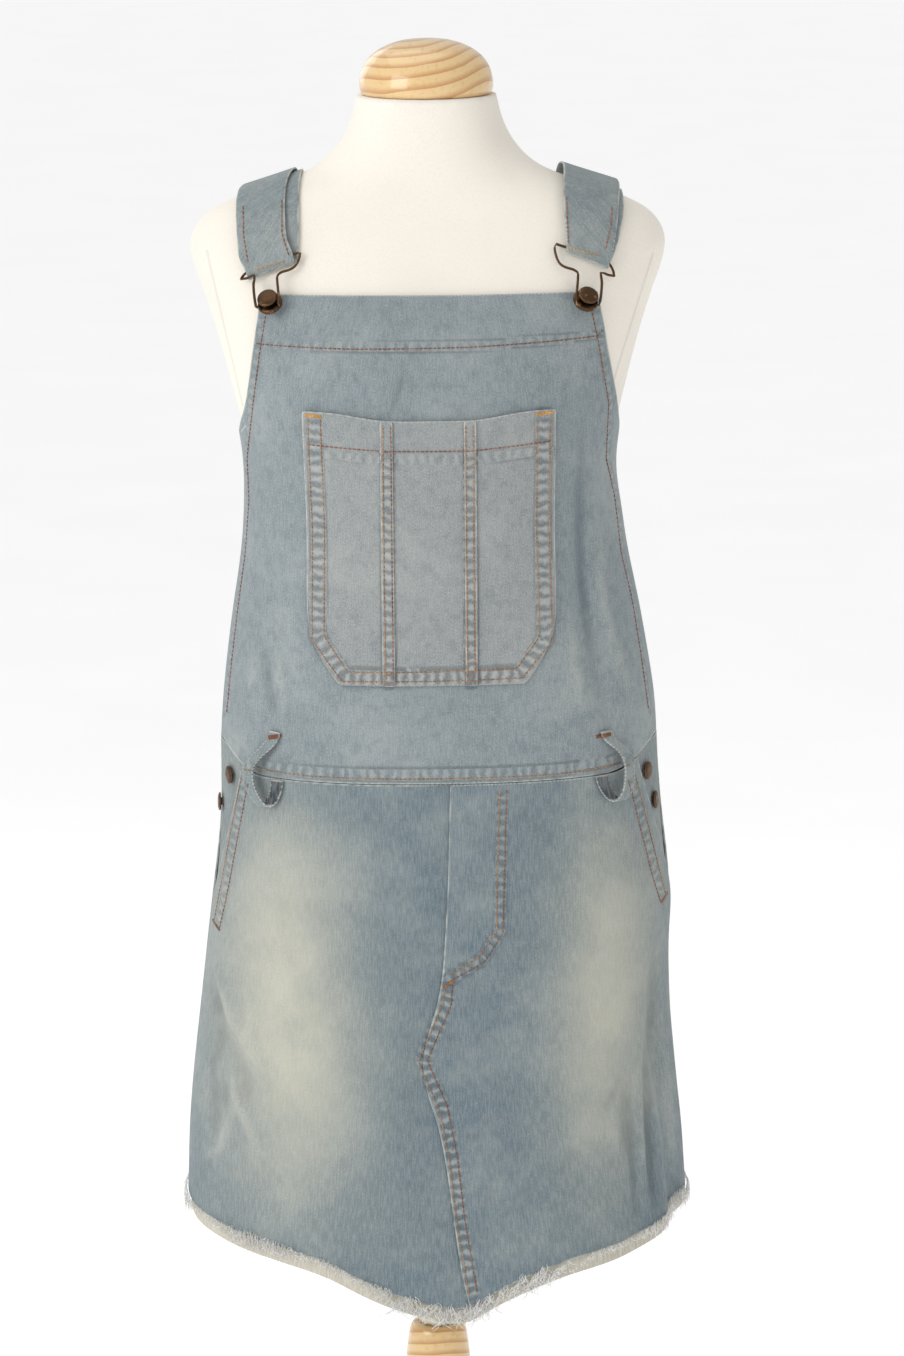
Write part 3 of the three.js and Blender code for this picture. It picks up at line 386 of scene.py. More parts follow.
def twill_group():
    """Diagonal ribs with uneven yarns; gives a rib height and a yarn colour mask."""
    name = "Twill weave"
    if name in bpy.data.node_groups:
        return bpy.data.node_groups[name]
    group, n, start, end = new_group(
        name, [("Cloth", "NodeSocketVector", None), ("Rib", "NodeSocketFloat", 0.0011)],
        [("Height", "NodeSocketFloat"), ("Yarn", "NodeSocketFloat"), ("Streak", "NodeSocketFloat")])
    split = n.put("ShaderNodeSeparateXYZ", {0: start.outputs["Cloth"]})
    along = n.math("ADD", split.outputs[0], n.math("MULTIPLY", split.outputs[1], 0.75))
    phase = n.math("MULTIPLY", n.math("DIVIDE", along, start.outputs["Rib"]), 2 * math.pi)
    rib = n.math("MULTIPLY_ADD", n.math("SINE", phase), 0.5, 0.5)
    fine = n.put("ShaderNodeMapping", {"Vector": start.outputs["Cloth"], "Scale": (1400, 700, 1)})
    yarn = n.noise(fine.outputs[0], 1.0, 2.0, "2D")
    long = n.put("ShaderNodeMapping", {"Vector": start.outputs["Cloth"], "Scale": (760, 95, 1)})
    streak = n.noise(long.outputs[0], 1.0, 3.0, "2D")
    height = n.math("ADD", n.math("MULTIPLY", rib, 0.6), n.math("MULTIPLY", yarn, 0.8))
    n.join(height, end.inputs["Height"])
    grain = n.math("ADD", n.math("MULTIPLY", yarn, 0.85), n.math("MULTIPLY", rib, 0.15))
    n.join(n.span(grain, 0.34, 0.68), end.inputs["Yarn"])
    n.join(n.span(streak, 0.36, 0.66), end.inputs["Streak"])
    return group


def wear_group():
    """Masks for a worn outline and for the light and dark rungs that pucker along a seam."""
    name = "Seam and edge wear"
    if name in bpy.data.node_groups:
        return bpy.data.node_groups[name]
    group, n, start, end = new_group(
        name, [("Place", "NodeSocketVector", None), ("Rim", "NodeSocketFloat", 1.0),
               ("Seam", "NodeSocketFloat", 0.0), ("Along", "NodeSocketFloat", 0.0)],
        [("Pale", "NodeSocketFloat"), ("Dark", "NodeSocketFloat"), ("Pucker", "NodeSocketFloat")])
    blot = n.noise(start.outputs["Place"], 120.0, 2.0)
    wide = n.noise(start.outputs["Place"], 60.0, 2.0)
    frayed = n.math("ADD", start.outputs["Rim"], n.math("MULTIPLY", wide, 0.0012))
    near_rim = n.span(frayed, 0.0005, 0.0024, 1.0, 0.0)
    turns = n.math("MULTIPLY", n.math("DIVIDE", start.outputs["Along"], RUNG), 2 * math.pi)
    shaken = n.math("ADD", turns, n.math("MULTIPLY", blot, 7.0))
    rung = n.math("SINE", shaken)
    light = n.math("MULTIPLY", start.outputs["Seam"], n.span(rung, -0.1, 1.0))
    deep = n.math("MULTIPLY", start.outputs["Seam"], n.span(rung, -1.0, 0.1, 1.0, 0.0))
    pale = n.math("MAXIMUM", n.math("MULTIPLY", near_rim, 0.85), n.math("MULTIPLY", light, 0.30))
    n.join(pale, end.inputs["Pale"])
    n.join(n.math("MULTIPLY", deep, 0.40), end.inputs["Dark"])
    n.join(n.math("MULTIPLY", start.outputs["Seam"], rung), end.inputs["Pucker"])
    return group


def shader(name, roughness, **constants):
    material = bpy.data.materials.new(name)
    material.use_nodes = True
    tree = material.node_tree
    principled = tree.nodes["Principled BSDF"]
    principled.inputs["Roughness"].default_value = roughness
    for key, value in constants.items():
        principled.inputs[key.replace("_", " ")].default_value = value
    return material, Nodes(tree), principled


def fade_mask(n, place, fades):
    """Sum of soft oval patches in the front view."""
    split = n.put("ShaderNodeSeparateXYZ", {0: place})
    total = 0.0
    for fade in fades:
        away = []
        for axis, centre, half, power in ((0, "x", "rx", 2.0), (2, "z", "rz", 2.4)):
            offset = n.math("DIVIDE", n.math("SUBTRACT", split.outputs[axis], fade[centre]), fade[half])
            away.append(n.math("POWER", n.math("ABSOLUTE", offset), power))
        fallen = n.math("EXPONENT", n.math("MULTIPLY", n.math("ADD", *away), -1.0))
        total = n.math("ADD", n.math("MULTIPLY", fallen, fade["strength"]), total)
    return total


def denim(name, base, fades=()):
    """Stone-washed twill with slubs, worn outlines, puckered seams, folds painted paler on their ridges
    (whisker fading and painted highlight) and darker in their troughs (painted shade), and any fades it is
    given.
    """
    if name in bpy.data.materials:
        return bpy.data.materials[name]
    settings = bpy.context.scene.dungaree_dress
    material, n, principled = shader(name, 0.86, Specular_IOR_Level=0.25, Sheen_Weight=0.12,
                                     Sheen_Roughness=0.5)
    cloth = n.put("ShaderNodeUVMap", uv_map="cloth").outputs[0]
    twill = n.put("ShaderNodeGroup", {"Cloth": cloth, "Rib": settings.weave}, node_tree=twill_group())
    place = n.place()
    rim = n.stored("rim")
    seam = n.stored("seam")
    along = n.stored("along")
    wear = n.put("ShaderNodeGroup", {"Place": place, "Rim": rim, "Seam": seam, "Along": along},
                 node_tree=wear_group())
    cloudy = n.noise(place, 16.0, 4.0, Roughness=0.6)
    mottle = n.noise(place, 110.0, 3.0, Roughness=0.65)
    colour = n.mix(n.math("MULTIPLY", twill.outputs["Streak"], 0.20), base, COLOUR["pale"])
    fold = n.stored("fold")
    # Painted highlight, with whisker fading, on raised folds, then painted shade in the fold troughs.
    colour = n.mix(n.span(fold, 0.2, 2.8, 0.0, 0.44), colour, COLOUR["pale"])
    colour = n.mix(n.span(fold, -3.0, -0.2, 0.58, 0.0), colour, COLOUR["dark"])
    colour = n.mix(n.math("MULTIPLY", twill.outputs["Yarn"], 0.40), colour, COLOUR["dark"])
    colour = n.mix(n.span(cloudy, 0.42, 0.68, 0.0, 0.16), colour, COLOUR["pale"])
    colour = n.mix(n.span(mottle, 0.45, 0.70, 0.0, 0.18), colour, COLOUR["dark"])
    if fades:
        total = fade_mask(n, place, fades)
        broken = n.span(cloudy, 0.25, 0.6, 0.72, 1.0)
        mask = n.math("MULTIPLY", n.math("MULTIPLY", total, broken), settings.fade, clamp=True)
        grain = n.mix(n.math("MULTIPLY", twill.outputs["Streak"], 0.35), COLOUR["faded"], COLOUR["pale"])
        yarns = n.math("MULTIPLY", twill.outputs["Yarn"], 0.16)
        colour = n.mix(mask, colour, n.mix(yarns, grain, COLOUR["skirt"]))
    colour = n.mix(wear.outputs["Pale"], colour, COLOUR["pale"])
    colour = n.mix(wear.outputs["Dark"], colour, COLOUR["dark"])
    n.join(colour, principled.inputs["Base Color"])
    pucker = n.bump(wear.outputs["Pucker"], 0.6, 0.0011)
    n.join(n.bump(twill.outputs["Height"], 0.35, 0.0004, pucker), principled.inputs["Normal"])
    return material


def hem_twill():
    """Natural cotton of the band inside the hem."""
    if "hem band cotton" in bpy.data.materials:
        return bpy.data.materials["hem band cotton"]
    material, n, principled = shader("hem band cotton", 0.9, Specular_IOR_Level=0.2)
    cloth = n.put("ShaderNodeUVMap", uv_map="cloth").outputs[0]
    twill = n.put("ShaderNodeGroup", {"Cloth": cloth, "Rib": 0.0013}, node_tree=twill_group())
    colour = n.mix(n.math("MULTIPLY", twill.outputs["Streak"], 0.35), COLOUR["hem_band"], COLOUR["yarn"])
    colour = n.mix(n.math("MULTIPLY", twill.outputs["Yarn"], 0.22), colour, COLOUR["hem_shade"])
    n.join(colour, principled.inputs["Base Color"])
    n.join(n.bump(twill.outputs["Height"], 0.4, 0.0004), principled.inputs["Normal"])
    return material


def dimmed(colour, share):
    return tuple(c * share for c in colour[:3]) + (1,)


def thread(name, colour, roughness=0.7):
    """Twisted sewing thread or a frayed yarn."""
    if name in bpy.data.materials:
        return bpy.data.materials[name]
    material, n, principled = shader(name, roughness, Specular_IOR_Level=0.3)
    place = n.place()
    ply = n.noise(place, 900.0, 1.0)
    worn = n.noise(place, 45.0, 2.0)
    dark = dimmed(colour, 0.6)
    light = tuple(min(1.0, c * 1.5 + 0.05) for c in colour[:3]) + (1,)
    shade = n.mix(n.span(worn, 0.35, 0.7), colour, light)
    twisted = n.mix(n.span(ply, 0.45, 0.6, 0.0, 0.6), shade, dark)
    n.join(twisted, principled.inputs["Base Color"])
    n.join(n.bump(ply, 0.4, 0.0002), principled.inputs["Normal"])
    return material


def jersey():
    """Fine knit stretched over the form."""
    material, n, principled = shader("form jersey", 0.8, Specular_IOR_Level=0.25, Sheen_Weight=0.1)
    place = n.place()
    base = tuple(bpy.context.scene.dungaree_dress.jersey)
    stitch = n.put("ShaderNodeMapping", {"Vector": place, "Scale": (900, 900, 620)})
    knit = n.noise(stitch.outputs[0], 1.0, 1.0)
    soft = n.noise(place, 7.0, 3.0)
    colour = n.mix(n.span(soft, 0.4, 0.7), base, dimmed(base, 0.93))
    colour = n.mix(n.span(knit, 0.5, 0.65, 0.0, 0.25), colour, dimmed(base, 0.85))
    seams = [n.line(place, *ends, 0.0011) for ends in FORM_SEAMS]
    groove = n.math("MAXIMUM", *seams)
    colour = n.mix(n.math("MULTIPLY", groove, 0.30), colour, dimmed(base, 0.6))
    n.join(colour, principled.inputs["Base Color"])
    sewn = n.bump(groove, 0.5, 0.0010, invert=True)
    n.join(n.bump(knit, 0.25, 0.0003, sewn), principled.inputs["Normal"])
    return material


def pine():
    """Varnished turned pine; its rings run round a heart that lies front to back."""
    if "varnished pine" in bpy.data.materials:
        return bpy.data.materials["varnished pine"]
    material, n, principled = shader("varnished pine", 0.3, Specular_IOR_Level=0.5, Coat_Weight=0.7,
                                     Coat_Roughness=0.06)
    place = n.place()
    heart = n.put("ShaderNodeMapping", {"Vector": place, "Location": (0.014, 0.0, -1.452),
                                        "Rotation": (0.32, 0.0, 0.0)})
    ring = {"Vector": heart.outputs[0], "Scale": 34.0, "Distortion": 2.2, "Detail": 1.0, "Detail Scale": 0.6}
    rings = n.put("ShaderNodeTexWave", ring, wave_type="RINGS", rings_direction="Y", wave_profile="SAW")
    fibre = n.put("ShaderNodeMapping", {"Vector": place, "Scale": (300, 22, 300)})
    pores = n.noise(fibre.outputs[0], 1.0, 3.0)
    colour = n.mix(n.span(rings.outputs["Fac"], 0.45, 1.0, 0.0, 0.8), COLOUR["pine"], COLOUR["pine_dark"])
    colour = n.mix(n.span(pores, 0.5, 0.72, 0.0, 0.22), colour, COLOUR["pine_dark"])
    n.join(colour, principled.inputs["Base Color"])
    return material


def bronze():
    """Dark antique bronze, worn bright on its proud edges."""
    if "antique bronze" in bpy.data.materials:
        return bpy.data.materials["antique bronze"]
    material, n, principled = shader("antique bronze", 0.36, Metallic=1.0)
    place = n.place()
    patch = n.noise(place, 260.0, 4.0)
    edge = n.put("ShaderNodeNewGeometry").outputs["Pointiness"]
    worn = n.math("MAXIMUM", n.span(edge, 0.52, 0.60), n.span(patch, 0.58, 0.74, 0.0, 0.6))
    n.join(n.mix(worn, COLOUR["bronze"], COLOUR["bronze_worn"]), principled.inputs["Base Color"])
    n.join(n.span(patch, 0.3, 0.7, 0.26, 0.5), principled.inputs["Roughness"])
    n.join(n.bump(patch, 0.15, 0.0003), principled.inputs["Normal"])
    return material


def enamel():
    """White painted steel of the post."""
    material, n, principled = shader("post enamel", 0.35, Specular_IOR_Level=0.5)
    place = n.place()
    haze = n.noise(place, 40.0, 3.0)
    colour = n.mix(n.span(haze, 0.4, 0.7), COLOUR["post"], COLOUR["post_dull"])
    n.join(colour, principled.inputs["Base Color"])
    return material


# ------------------------------------------------------------------ mesh helpers
def select_only(obj):
    bpy.ops.object.select_all(action="DESELECT")
    obj.select_set(True)
    bpy.context.view_layer.objects.active = obj


def copied(node, name):
    """A merged copy of a CAD node, in quads where its triangles pair up."""
    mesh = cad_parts[node].data.copy()
    mesh.materials.clear()
    obj = bpy.data.objects.new(name, mesh)
    bpy.context.scene.collection.objects.link(obj)
    bm = bmesh.new()
    bm.from_mesh(mesh)
    bmesh.ops.remove_doubles(bm, verts=bm.verts, dist=2e-6)
    bmesh.ops.join_triangles(bm, faces=bm.faces, angle_face_threshold=math.radians(40),
                             angle_shape_threshold=math.radians(170))
    crease = bm.edges.layers.float.new("crease_edge")
    outline = []
    for edge in bm.edges:
        if len(edge.link_faces) == 2 and edge.calc_face_angle(0.0) > SHARP:
            edge[crease] = 0.85
            outline.append((edge.verts[0].co.copy(), edge.verts[1].co.copy()))
    bm.to_mesh(mesh)
    bm.free()
    return obj, outline


def refine(obj, levels):
    """Subdivides a piece and applies it."""
    select_only(obj)
    modifier = obj.modifiers.new("surface", "SUBSURF")
    modifier.levels = modifier.render_levels = levels
    bpy.ops.object.modifier_apply(modifier=modifier.name)
    bpy.ops.object.shade_smooth_by_angle(angle=SHARP)


def points_of(obj):
    co = np.empty(len(obj.data.vertices) * 3)
    obj.data.vertices.foreach_get("co", co)
    return co.reshape(-1, 3)


def run_lengths(points):
    """Lengths in metres of the straight runs of a bent line given in mm."""
    corners = [np.array(p, float) * MM for p in points]
    return [np.hypot(*(b - a)) for a, b in zip(corners, corners[1:])]


def nearest_on(points, flat):
    """Distance from each flat point to a bent line given in mm, and how far along it that is, 0 to 1."""
    corners = [np.array(p, float) * MM for p in points]
    lengths = run_lengths(points)
    best = np.full(len(flat), 1e3)
    share = np.zeros(len(flat))
    done = 0.0
    for a, b, length in zip(corners, corners[1:], lengths):
        t = np.clip((flat - a) @ (b - a) / length**2, 0, 1)
        gap = np.hypot(*(flat - a - t[:, None] * (b - a)).T)
        nearer = gap < best
        best[nearer] = gap[nearer]
        share[nearer] = (done + t[nearer] * length) / sum(lengths)
        done += length
    return best, share


def on_face(co, side):
    """1 for each point on the named face of the dress, front or back, and 0 for the others."""
    return (co[:, 1] < 0 if side == "front" else co[:, 1] > 0).astype(float)


def crease_cloth(obj, amount=1.0):
    """Presses the creases and a slight unevenness into a cloth piece, the same on both its faces."""
    co = points_of(obj)
    radius = np.maximum(np.hypot(co[:, 0], co[:, 1]), 1e-6)
    out = np.stack([co[:, 0] / radius, co[:, 1] / radius, np.zeros(len(co))], axis=1)
    move = np.zeros(len(co))
    flat = co[:, [0, 2]]
    fold = np.zeros(len(co))
    for row in CREASES:
        side = on_face(co, row["side"])
        gap, share = nearest_on(row["points"], flat)
        taper = np.sin(math.pi * np.clip(share * 0.84 + 0.08, 0, 1)) ** 0.8
        step = -side * row["depth"] * taper * np.exp(-(gap / (row["width"] * MM)) ** 2)
        move += step * MM
        fold += step
    uneven = np.array([noise.noise(Vector(p)) for p in co * UNEVEN["along"]])
    loose = np.clip((UNEVEN["none_above"] - co[:, 2]) / (UNEVEN["none_above"] - UNEVEN["full_below"]), 0, 1)
    move += uneven * UNEVEN["height"] * loose
    co += out * (move * amount)[:, None]
    obj.data.vertices.foreach_set("co", co.ravel())
    # The fold depth is kept for the cloth colour: painted highlight on ridges, painted shade in troughs.
    obj.data.attributes.new("fold", "FLOAT", "POINT").data.foreach_set("value", fold * amount)
    obj.data.update()


def add_distance(obj, name, lines, step=2.5 * MM):
    """Stores each vertex's distance to the nearest of the lines."""
    spots = []
    for a, b in lines:
        count = max(1, int((b - a).length / step))
        spots += [a.lerp(b, i / count) for i in range(count + 1)]
    attribute = obj.data.attributes.new(name, "FLOAT", "POINT")
    values = np.full(len(obj.data.vertices), 1.0)
    if spots:
        tree = KDTree(len(spots))
        for i, spot in enumerate(spots):
            tree.insert(spot, i)
        tree.balance()
        values = np.array([tree.find(v.co)[2] for v in obj.data.vertices])
    attribute.data.foreach_set("value", values)


def add_grain(obj):
    """UV map along the cloth: distance round the body, and height."""
    layer = obj.data.uv_layers.new(name="cloth")
    co = points_of(obj)
    back = obj.name.startswith(("back", "seat"))
    angle = np.arctan2(co[:, 0], co[:, 1] if back else -co[:, 1])
    uv = np.stack([angle * GRAIN_RADIUS, co[:, 2]], axis=1)
    index = np.empty(len(obj.data.loops), int)
    obj.data.loops.foreach_get("vertex_index", index)
    layer.data.foreach_set("uv", uv[index].ravel())


def finish_piece(obj, material, nodes):
    obj.data.materials.append(material)
    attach(obj, BODY)
    if nodes:
        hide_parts(*nodes)


def add_ladders(obj):
    """Stores on each vertex how strongly a seam puckers there, and the distance along that seam."""
    co = points_of(obj)
    flat = co[:, [0, 2]]
    normals = np.zeros(len(co) * 3)
    obj.data.vertices.foreach_get("normal", normals)
    facing = np.clip(np.abs(normals.reshape(-1, 3)[:, 1]), 0.25, 1)
    seam = np.zeros(len(co))
    along = np.zeros(len(co))
    for row in LADDERS:
        gap, share = nearest_on(row["points"], flat)
        half = row["half"] * MM
        here = np.clip((1.5 * half - gap / facing) / half, 0, 1) * row["strength"]
        here *= on_face(co, row["side"])
        stronger = here > seam
        seam[stronger] = here[stronger]
        along[stronger] = (share * sum(run_lengths(row["points"])))[stronger]
    obj.data.attributes.new("seam", "FLOAT", "POINT").data.foreach_set("value", seam)
    obj.data.attributes.new("along", "FLOAT", "POINT").data.foreach_set("value", along)


def cloth_piece(node, name, material, levels=3, creased=1.0):
    """One cut piece of cloth, made from its CAD wall."""
    obj, outline = copied(node, name)
    refine(obj, levels)
    add_distance(obj, "rim", outline)
    add_ladders(obj)
    if creased:
        crease_cloth(obj, creased)
    add_grain(obj)
    finish_piece(obj, material, [node])
    return obj


def hard_piece(node, name, material):
    """One hard piece, made from its CAD solid with rounded edges."""
    obj, _ = copied(node, name)
    refine(obj, 2)
    finish_piece(obj, material, [node])
    return obj


def surface_tree(names):
    """What a needle meets from either side: the finished pieces that are sewn through."""
    vertices, polygons = [], []
    for name in names:
        mesh = bpy.data.objects[name].data
        base = len(vertices)
        vertices += [v.co.copy() for v in mesh.vertices]
        polygons += [[base + i for i in p.vertices] for p in mesh.polygons]
    return BVHTree.FromPolygons(vertices, polygons)


def walk(points, pitch):
    """Even steps along a row of straight runs."""
    spots, carried = [], 0.0
    for a, b in zip(points, points[1:]):
        a, b = Vector(a), Vector(b)
        length = (b - a).length
        at = carried
        while at < length:
            spots.append(a.lerp(b, at / length))
            at += pitch
        carried = at - length
    return spots


def tube(vertices, faces, ring_points, radii, sides, normal):
    """Adds one small closed tube along a few points."""
    base = len(vertices)
    last = len(ring_points) - 1
    for i, point in enumerate(ring_points):
        along = (ring_points[min(i + 1, last)] - ring_points[max(i - 1, 0)]).normalized()
        across = along.cross(normal).normalized()
        up = across.cross(along).normalized()
        for k in range(sides):
            turn = 2 * math.pi * k / sides
            vertices.append(point + (across * math.cos(turn) + up * math.sin(turn)) * radii[i])
    for i in range(last):
        for k in range(sides):
            a, b = base + i * sides + k, base + i * sides + (k + 1) % sides
            faces.append((a, b, b + sides, a + sides))
    faces.append(tuple(base + k for k in reversed(range(sides))))
    faces.append(tuple(base + last * sides + k for k in range(sides)))


def mesh_piece(name, vertices, faces):
    mesh = bpy.data.meshes.new(name)
    mesh.from_pydata([tuple(v) for v in vertices], [], faces)
    mesh.validate()
    bm = bmesh.new()
    bm.from_mesh(mesh)
    bmesh.ops.recalc_face_normals(bm, faces=bm.faces)
    bm.to_mesh(mesh)
    bm.free()
    obj = bpy.data.objects.new(name, mesh)
    bpy.context.scene.collection.objects.link(obj)
    select_only(obj)
    bpy.ops.object.shade_smooth()
    return obj


# ------------------------------------------------------------------ operators
class DRESS_OT_stage(bpy.types.Operator):
    """Lay a plain pale floor, soft studio lights and the camera"""

    bl_idname = "dress.stage"
    bl_label = "Stage"

    def execute(self, context):
        bpy.ops.object.select_all(action="DESELECT")
        bpy.ops.mesh.primitive_circle_add(vertices=96, radius=FLOOR_RADIUS, fill_type="NGON",
                                          location=(0, 0, 0))
        floor = context.active_object
        floor.name = "floor"
        material, n, principled = shader("studio floor", 0.9, Specular_IOR_Level=0.1,
                                         Emission_Strength=GLOW["floor"])
        dust = n.noise(n.place(), 3.0, 2.0)
        colour = n.mix(n.span(dust, 0.3, 0.7), COLOUR["floor"], COLOUR["floor_dull"])
        n.join(colour, principled.inputs["Base Color"])
        principled.inputs["Emission Color"].default_value = COLOUR["white"]
        floor.data.materials.append(material)
        for lamp in LAMPS:
            self.add_light(context, **lamp)
        world = bpy.data.worlds.new("studio")
        world.use_nodes = True
        sky = world.node_tree.nodes["Background"]
        sky.inputs["Color"].default_value = COLOUR["white"]
        sky.inputs["Strength"].default_value = GLOW["sky"]
        context.scene.world = world
        context.scene.view_settings.view_transform = "Standard"
        self.add_camera(context)
        return {"FINISHED"}

    def add_light(self, context, name, place, size, power):
        lamp = bpy.data.lights.new(name, "AREA")
        lamp.size = size
        lamp.energy = power
        obj = bpy.data.objects.new(name, lamp)
        context.scene.collection.objects.link(obj)
        obj.location = place
        obj.rotation_euler = (Vector((0, 0, 1.0)) - Vector(place)).to_track_quat("-Z", "Y").to_euler()

    def add_camera(self, context):
        data = bpy.data.cameras.new("camera")
        data.sensor_width = 36
        data.lens = CAMERA["lens"]
        camera = bpy.data.objects.new("camera", data)
        context.scene.collection.objects.link(camera)
        camera.location = (CAMERA["across"], -CAMERA["distance"], CAMERA["height"])
        camera.rotation_mode = "QUATERNION"
        pitch = Quaternion((1, 0, 0), math.radians(90 - CAMERA["pitch"]))
        camera.rotation_quaternion = pitch @ Quaternion((0, 0, 1), math.radians(CAMERA["roll"]))
        context.scene.camera = camera


class DRESS_OT_form(bpy.types.Operator):
    """Cover the dress form in jersey and set its pine cap on the neck"""

    bl_idname = "dress.form"
    bl_label = "Dress form"

    def execute(self, context):
        hard_piece("form_torso", "form_cover", jersey())
        hard_piece("neck_cap", "pine_cap", pine())
        return {"FINISHED"}


class DRESS_OT_stand(bpy.types.Operator):
    """Turn the wooden column and foot, and paint the post"""

    bl_idname = "dress.stand"
    bl_label = "Stand"

    def execute(self, context):
        hard_piece("post", "white_post", enamel())
        hard_piece("stand_column", "turned_column", pine())
        hard_piece("stand_base", "wooden_foot", pine())
        return {"FINISHED"}


class DRESS_OT_bib(bpy.types.Operator):
    """Make the faced bib and its pocket with two felled seams"""

    bl_idname = "dress.bib"
    bl_label = "Bib and pocket"

    def execute(self, context):
        base = tuple(context.scene.dungaree_dress.bib_blue)
        bib = cloth_piece("bib_front", "bib", denim("bib denim", base))
        paler = denim("pocket denim", COLOUR["pocket"])
        pocket = cloth_piece("bib_pocket", "pocket", paler)
        fells = [cloth_piece(f"pocket_fell_{side}", f"fell_{side}", paler) for side in SIDES]
        return {"FINISHED"}


class DRESS_OT_skirt(bpy.types.Operator):
    """Make the lapped front panels, the hip facings and the hidden back"""

    bl_idname = "dress.skirt"
    bl_label = "Skirt and back"

    def execute(self, context):
        base = tuple(context.scene.dungaree_dress.denim_blue)
        front = denim("skirt denim", base, FADES)
        back = denim("back denim", COLOUR["back"])
        left = cloth_piece("skirt_front_left", "skirt_left", front)
        right = cloth_piece("skirt_front_right", "skirt_right", front)
        seat = cloth_piece("skirt_back", "seat_panel", back)
        bodice = cloth_piece("bodice_back", "back_bodice", back)
        for side in SIDES:
            facing = cloth_piece(f"hip_facing_{side}", f"hip_facing_{side}_cloth",
                                 denim("facing denim", COLOUR["facing_blue"]))
        return {"FINISHED"}


class DRESS_OT_hem(bpy.types.Operator):
    """Sew in the pale hem band and fray the raw edge"""

    bl_idname = "dress.hem"
    bl_label = "Hem band and fringe"

    def execute(self, context):
        for side, flat in (("front", 0.548), ("back", 0.563)):
            band = cloth_piece(f"hem_facing_{side}", f"hem_band_{side}", hem_twill())
        for node in ("hem_fringe_front_left", "hem_fringe_front_right", "hem_fringe_back"):
            self.fray(context, node)
        return {"FINISHED"}

    def fray(self, context, node):
        co = np.array([v.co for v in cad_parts[node].data.vertices])
        turn = np.arctan2(co[:, 0], -co[:, 1])
        if "back" in node:
            turn = np.where(turn < 0, turn + 2 * math.pi, turn)
        radius = np.hypot(co[:, 0], co[:, 1])
        keys = sorted(set(np.round(turn, 3)))
        near = [np.abs(turn - key) < 0.004 for key in keys]
        tops = [co[mask, 2].max() for mask in near]
        outs = [radius[mask].max() for mask in near]
        vertices, faces = [], []
        chance = random.Random(node)
        longest = context.scene.dungaree_dress.fringe
        at = keys[0]
        while at < keys[-1]:
            amount = self.amount(math.degrees(at))
            for _ in range(int(0.5 + amount * YARN["most_a_step"] + chance.random())):
                start = at + chance.uniform(*YARN["scatter"])
                reach = YARN["least_reach"] + (1 - YARN["least_reach"]) * amount
                length = longest * reach * chance.uniform(0.3, 1.0)
                lap = (YARN["least_lap"] + YARN["more_lap"] * amount) * chance.uniform(0.2, 1.0)
                top = float(np.interp(start, keys, tops)) + lap
                out = float(np.interp(start, keys, outs)) + chance.uniform(*YARN["proud"])
                self.strand(vertices, faces, chance, start, top, out, length + lap)
            at += chance.uniform(*YARN["step"])
        piece = mesh_piece(node.replace("hem_fringe", "frayed_edge"), vertices, faces)
        finish_piece(piece, thread("frayed yarn", COLOUR["yarn"], 0.9), [node])

    def amount(self, degrees):
        """How much the hem is frayed at an angle, from 0.1 to 1."""
        patches = [row["amount"] * math.exp(-((degrees - row["turn"]) / row["width"]) ** 2) for row in FRAY]
        uneven = 0.5 + 0.5 * noise.noise(Vector((degrees * 0.9, 2.7, 0.4)))
        return min(1.0, 0.1 + max(patches) * (0.7 + 0.5 * uneven))

    def strand(self, vertices, faces, chance, start, top, out, length):
        """One thin loose yarn: five runs of a bowed, swaying line."""
        sway = chance.uniform(-YARN["sway"], YARN["sway"])
        curl = chance.uniform(-YARN["curl"], YARN["curl"])
        bow = chance.uniform(*YARN["bow"])
        points = []
        for i in range(YARN["runs"] + 1):
            t = i / YARN["runs"]
            turn = start + (sway * length * t * t + curl * math.sin(5 * t)) / out
            r = out + bow * t - 0.0006 * (t > 0.6)
            points.append(Vector((r * math.sin(turn), -r * math.cos(turn), top - length * t)))
        radius = chance.uniform(*YARN["radius"])
        taper = (0.7, 1, 1, 1, 0.8, 0.4)
        outward = Vector((points[0].x, points[0].y, 0)).normalized()
        tube(vertices, faces, points, [radius * share for share in taper], YARN["sides"], outward)


class DRESS_OT_straps(bpy.types.Operator):
    """Make the straps with their turned-back ends, and the belt loops"""

    bl_idname = "dress.straps"
    bl_label = "Straps and belt loops"

    def execute(self, context):
        cloth = denim("strap denim", COLOUR["strap"])
        for side in SIDES:
            strap = cloth_piece(f"strap_{side}", f"strap_{side}_cloth", cloth, 2, 0)
            loop = cloth_piece(f"belt_loop_{side}", f"loop_{side}", cloth, 2, 0)
            self.darken_inside(loop)
        return {"FINISHED"}

    def darken_inside(self, loop):
        """Gives the face inside the loop's fold a near-black cloth, as painted shade."""
        loop.data.materials.append(denim("painted shade inside loop", COLOUR["inside"]))
        low = [p for p in loop.data.polygons if p.center.z < LOOP_FOLD_TOP]
        middle = sum((p.center * p.area for p in low), Vector()) / sum(p.area for p in low)
        for polygon in low:
            if polygon.normal.dot(middle - polygon.center) > 0:
                polygon.material_index = 1


class DRESS_OT_fittings(bpy.types.Operator):
    """Set the bronze buckles, bib buttons and side buttons"""

    bl_idname = "dress.fittings"
    bl_label = "Metal fittings"

    def execute(self, context):
        for side in SIDES:
            hard_piece(f"buckle_{side}", f"wire_buckle_{side}", bronze())
            hard_piece(f"bib_button_{side}", f"button_{side}", bronze())
            for row in ("upper", "lower"):
                hard_piece(f"side_button_{side}_{row}", f"hip_button_{side}_{row}", bronze())
        return {"FINISHED"}


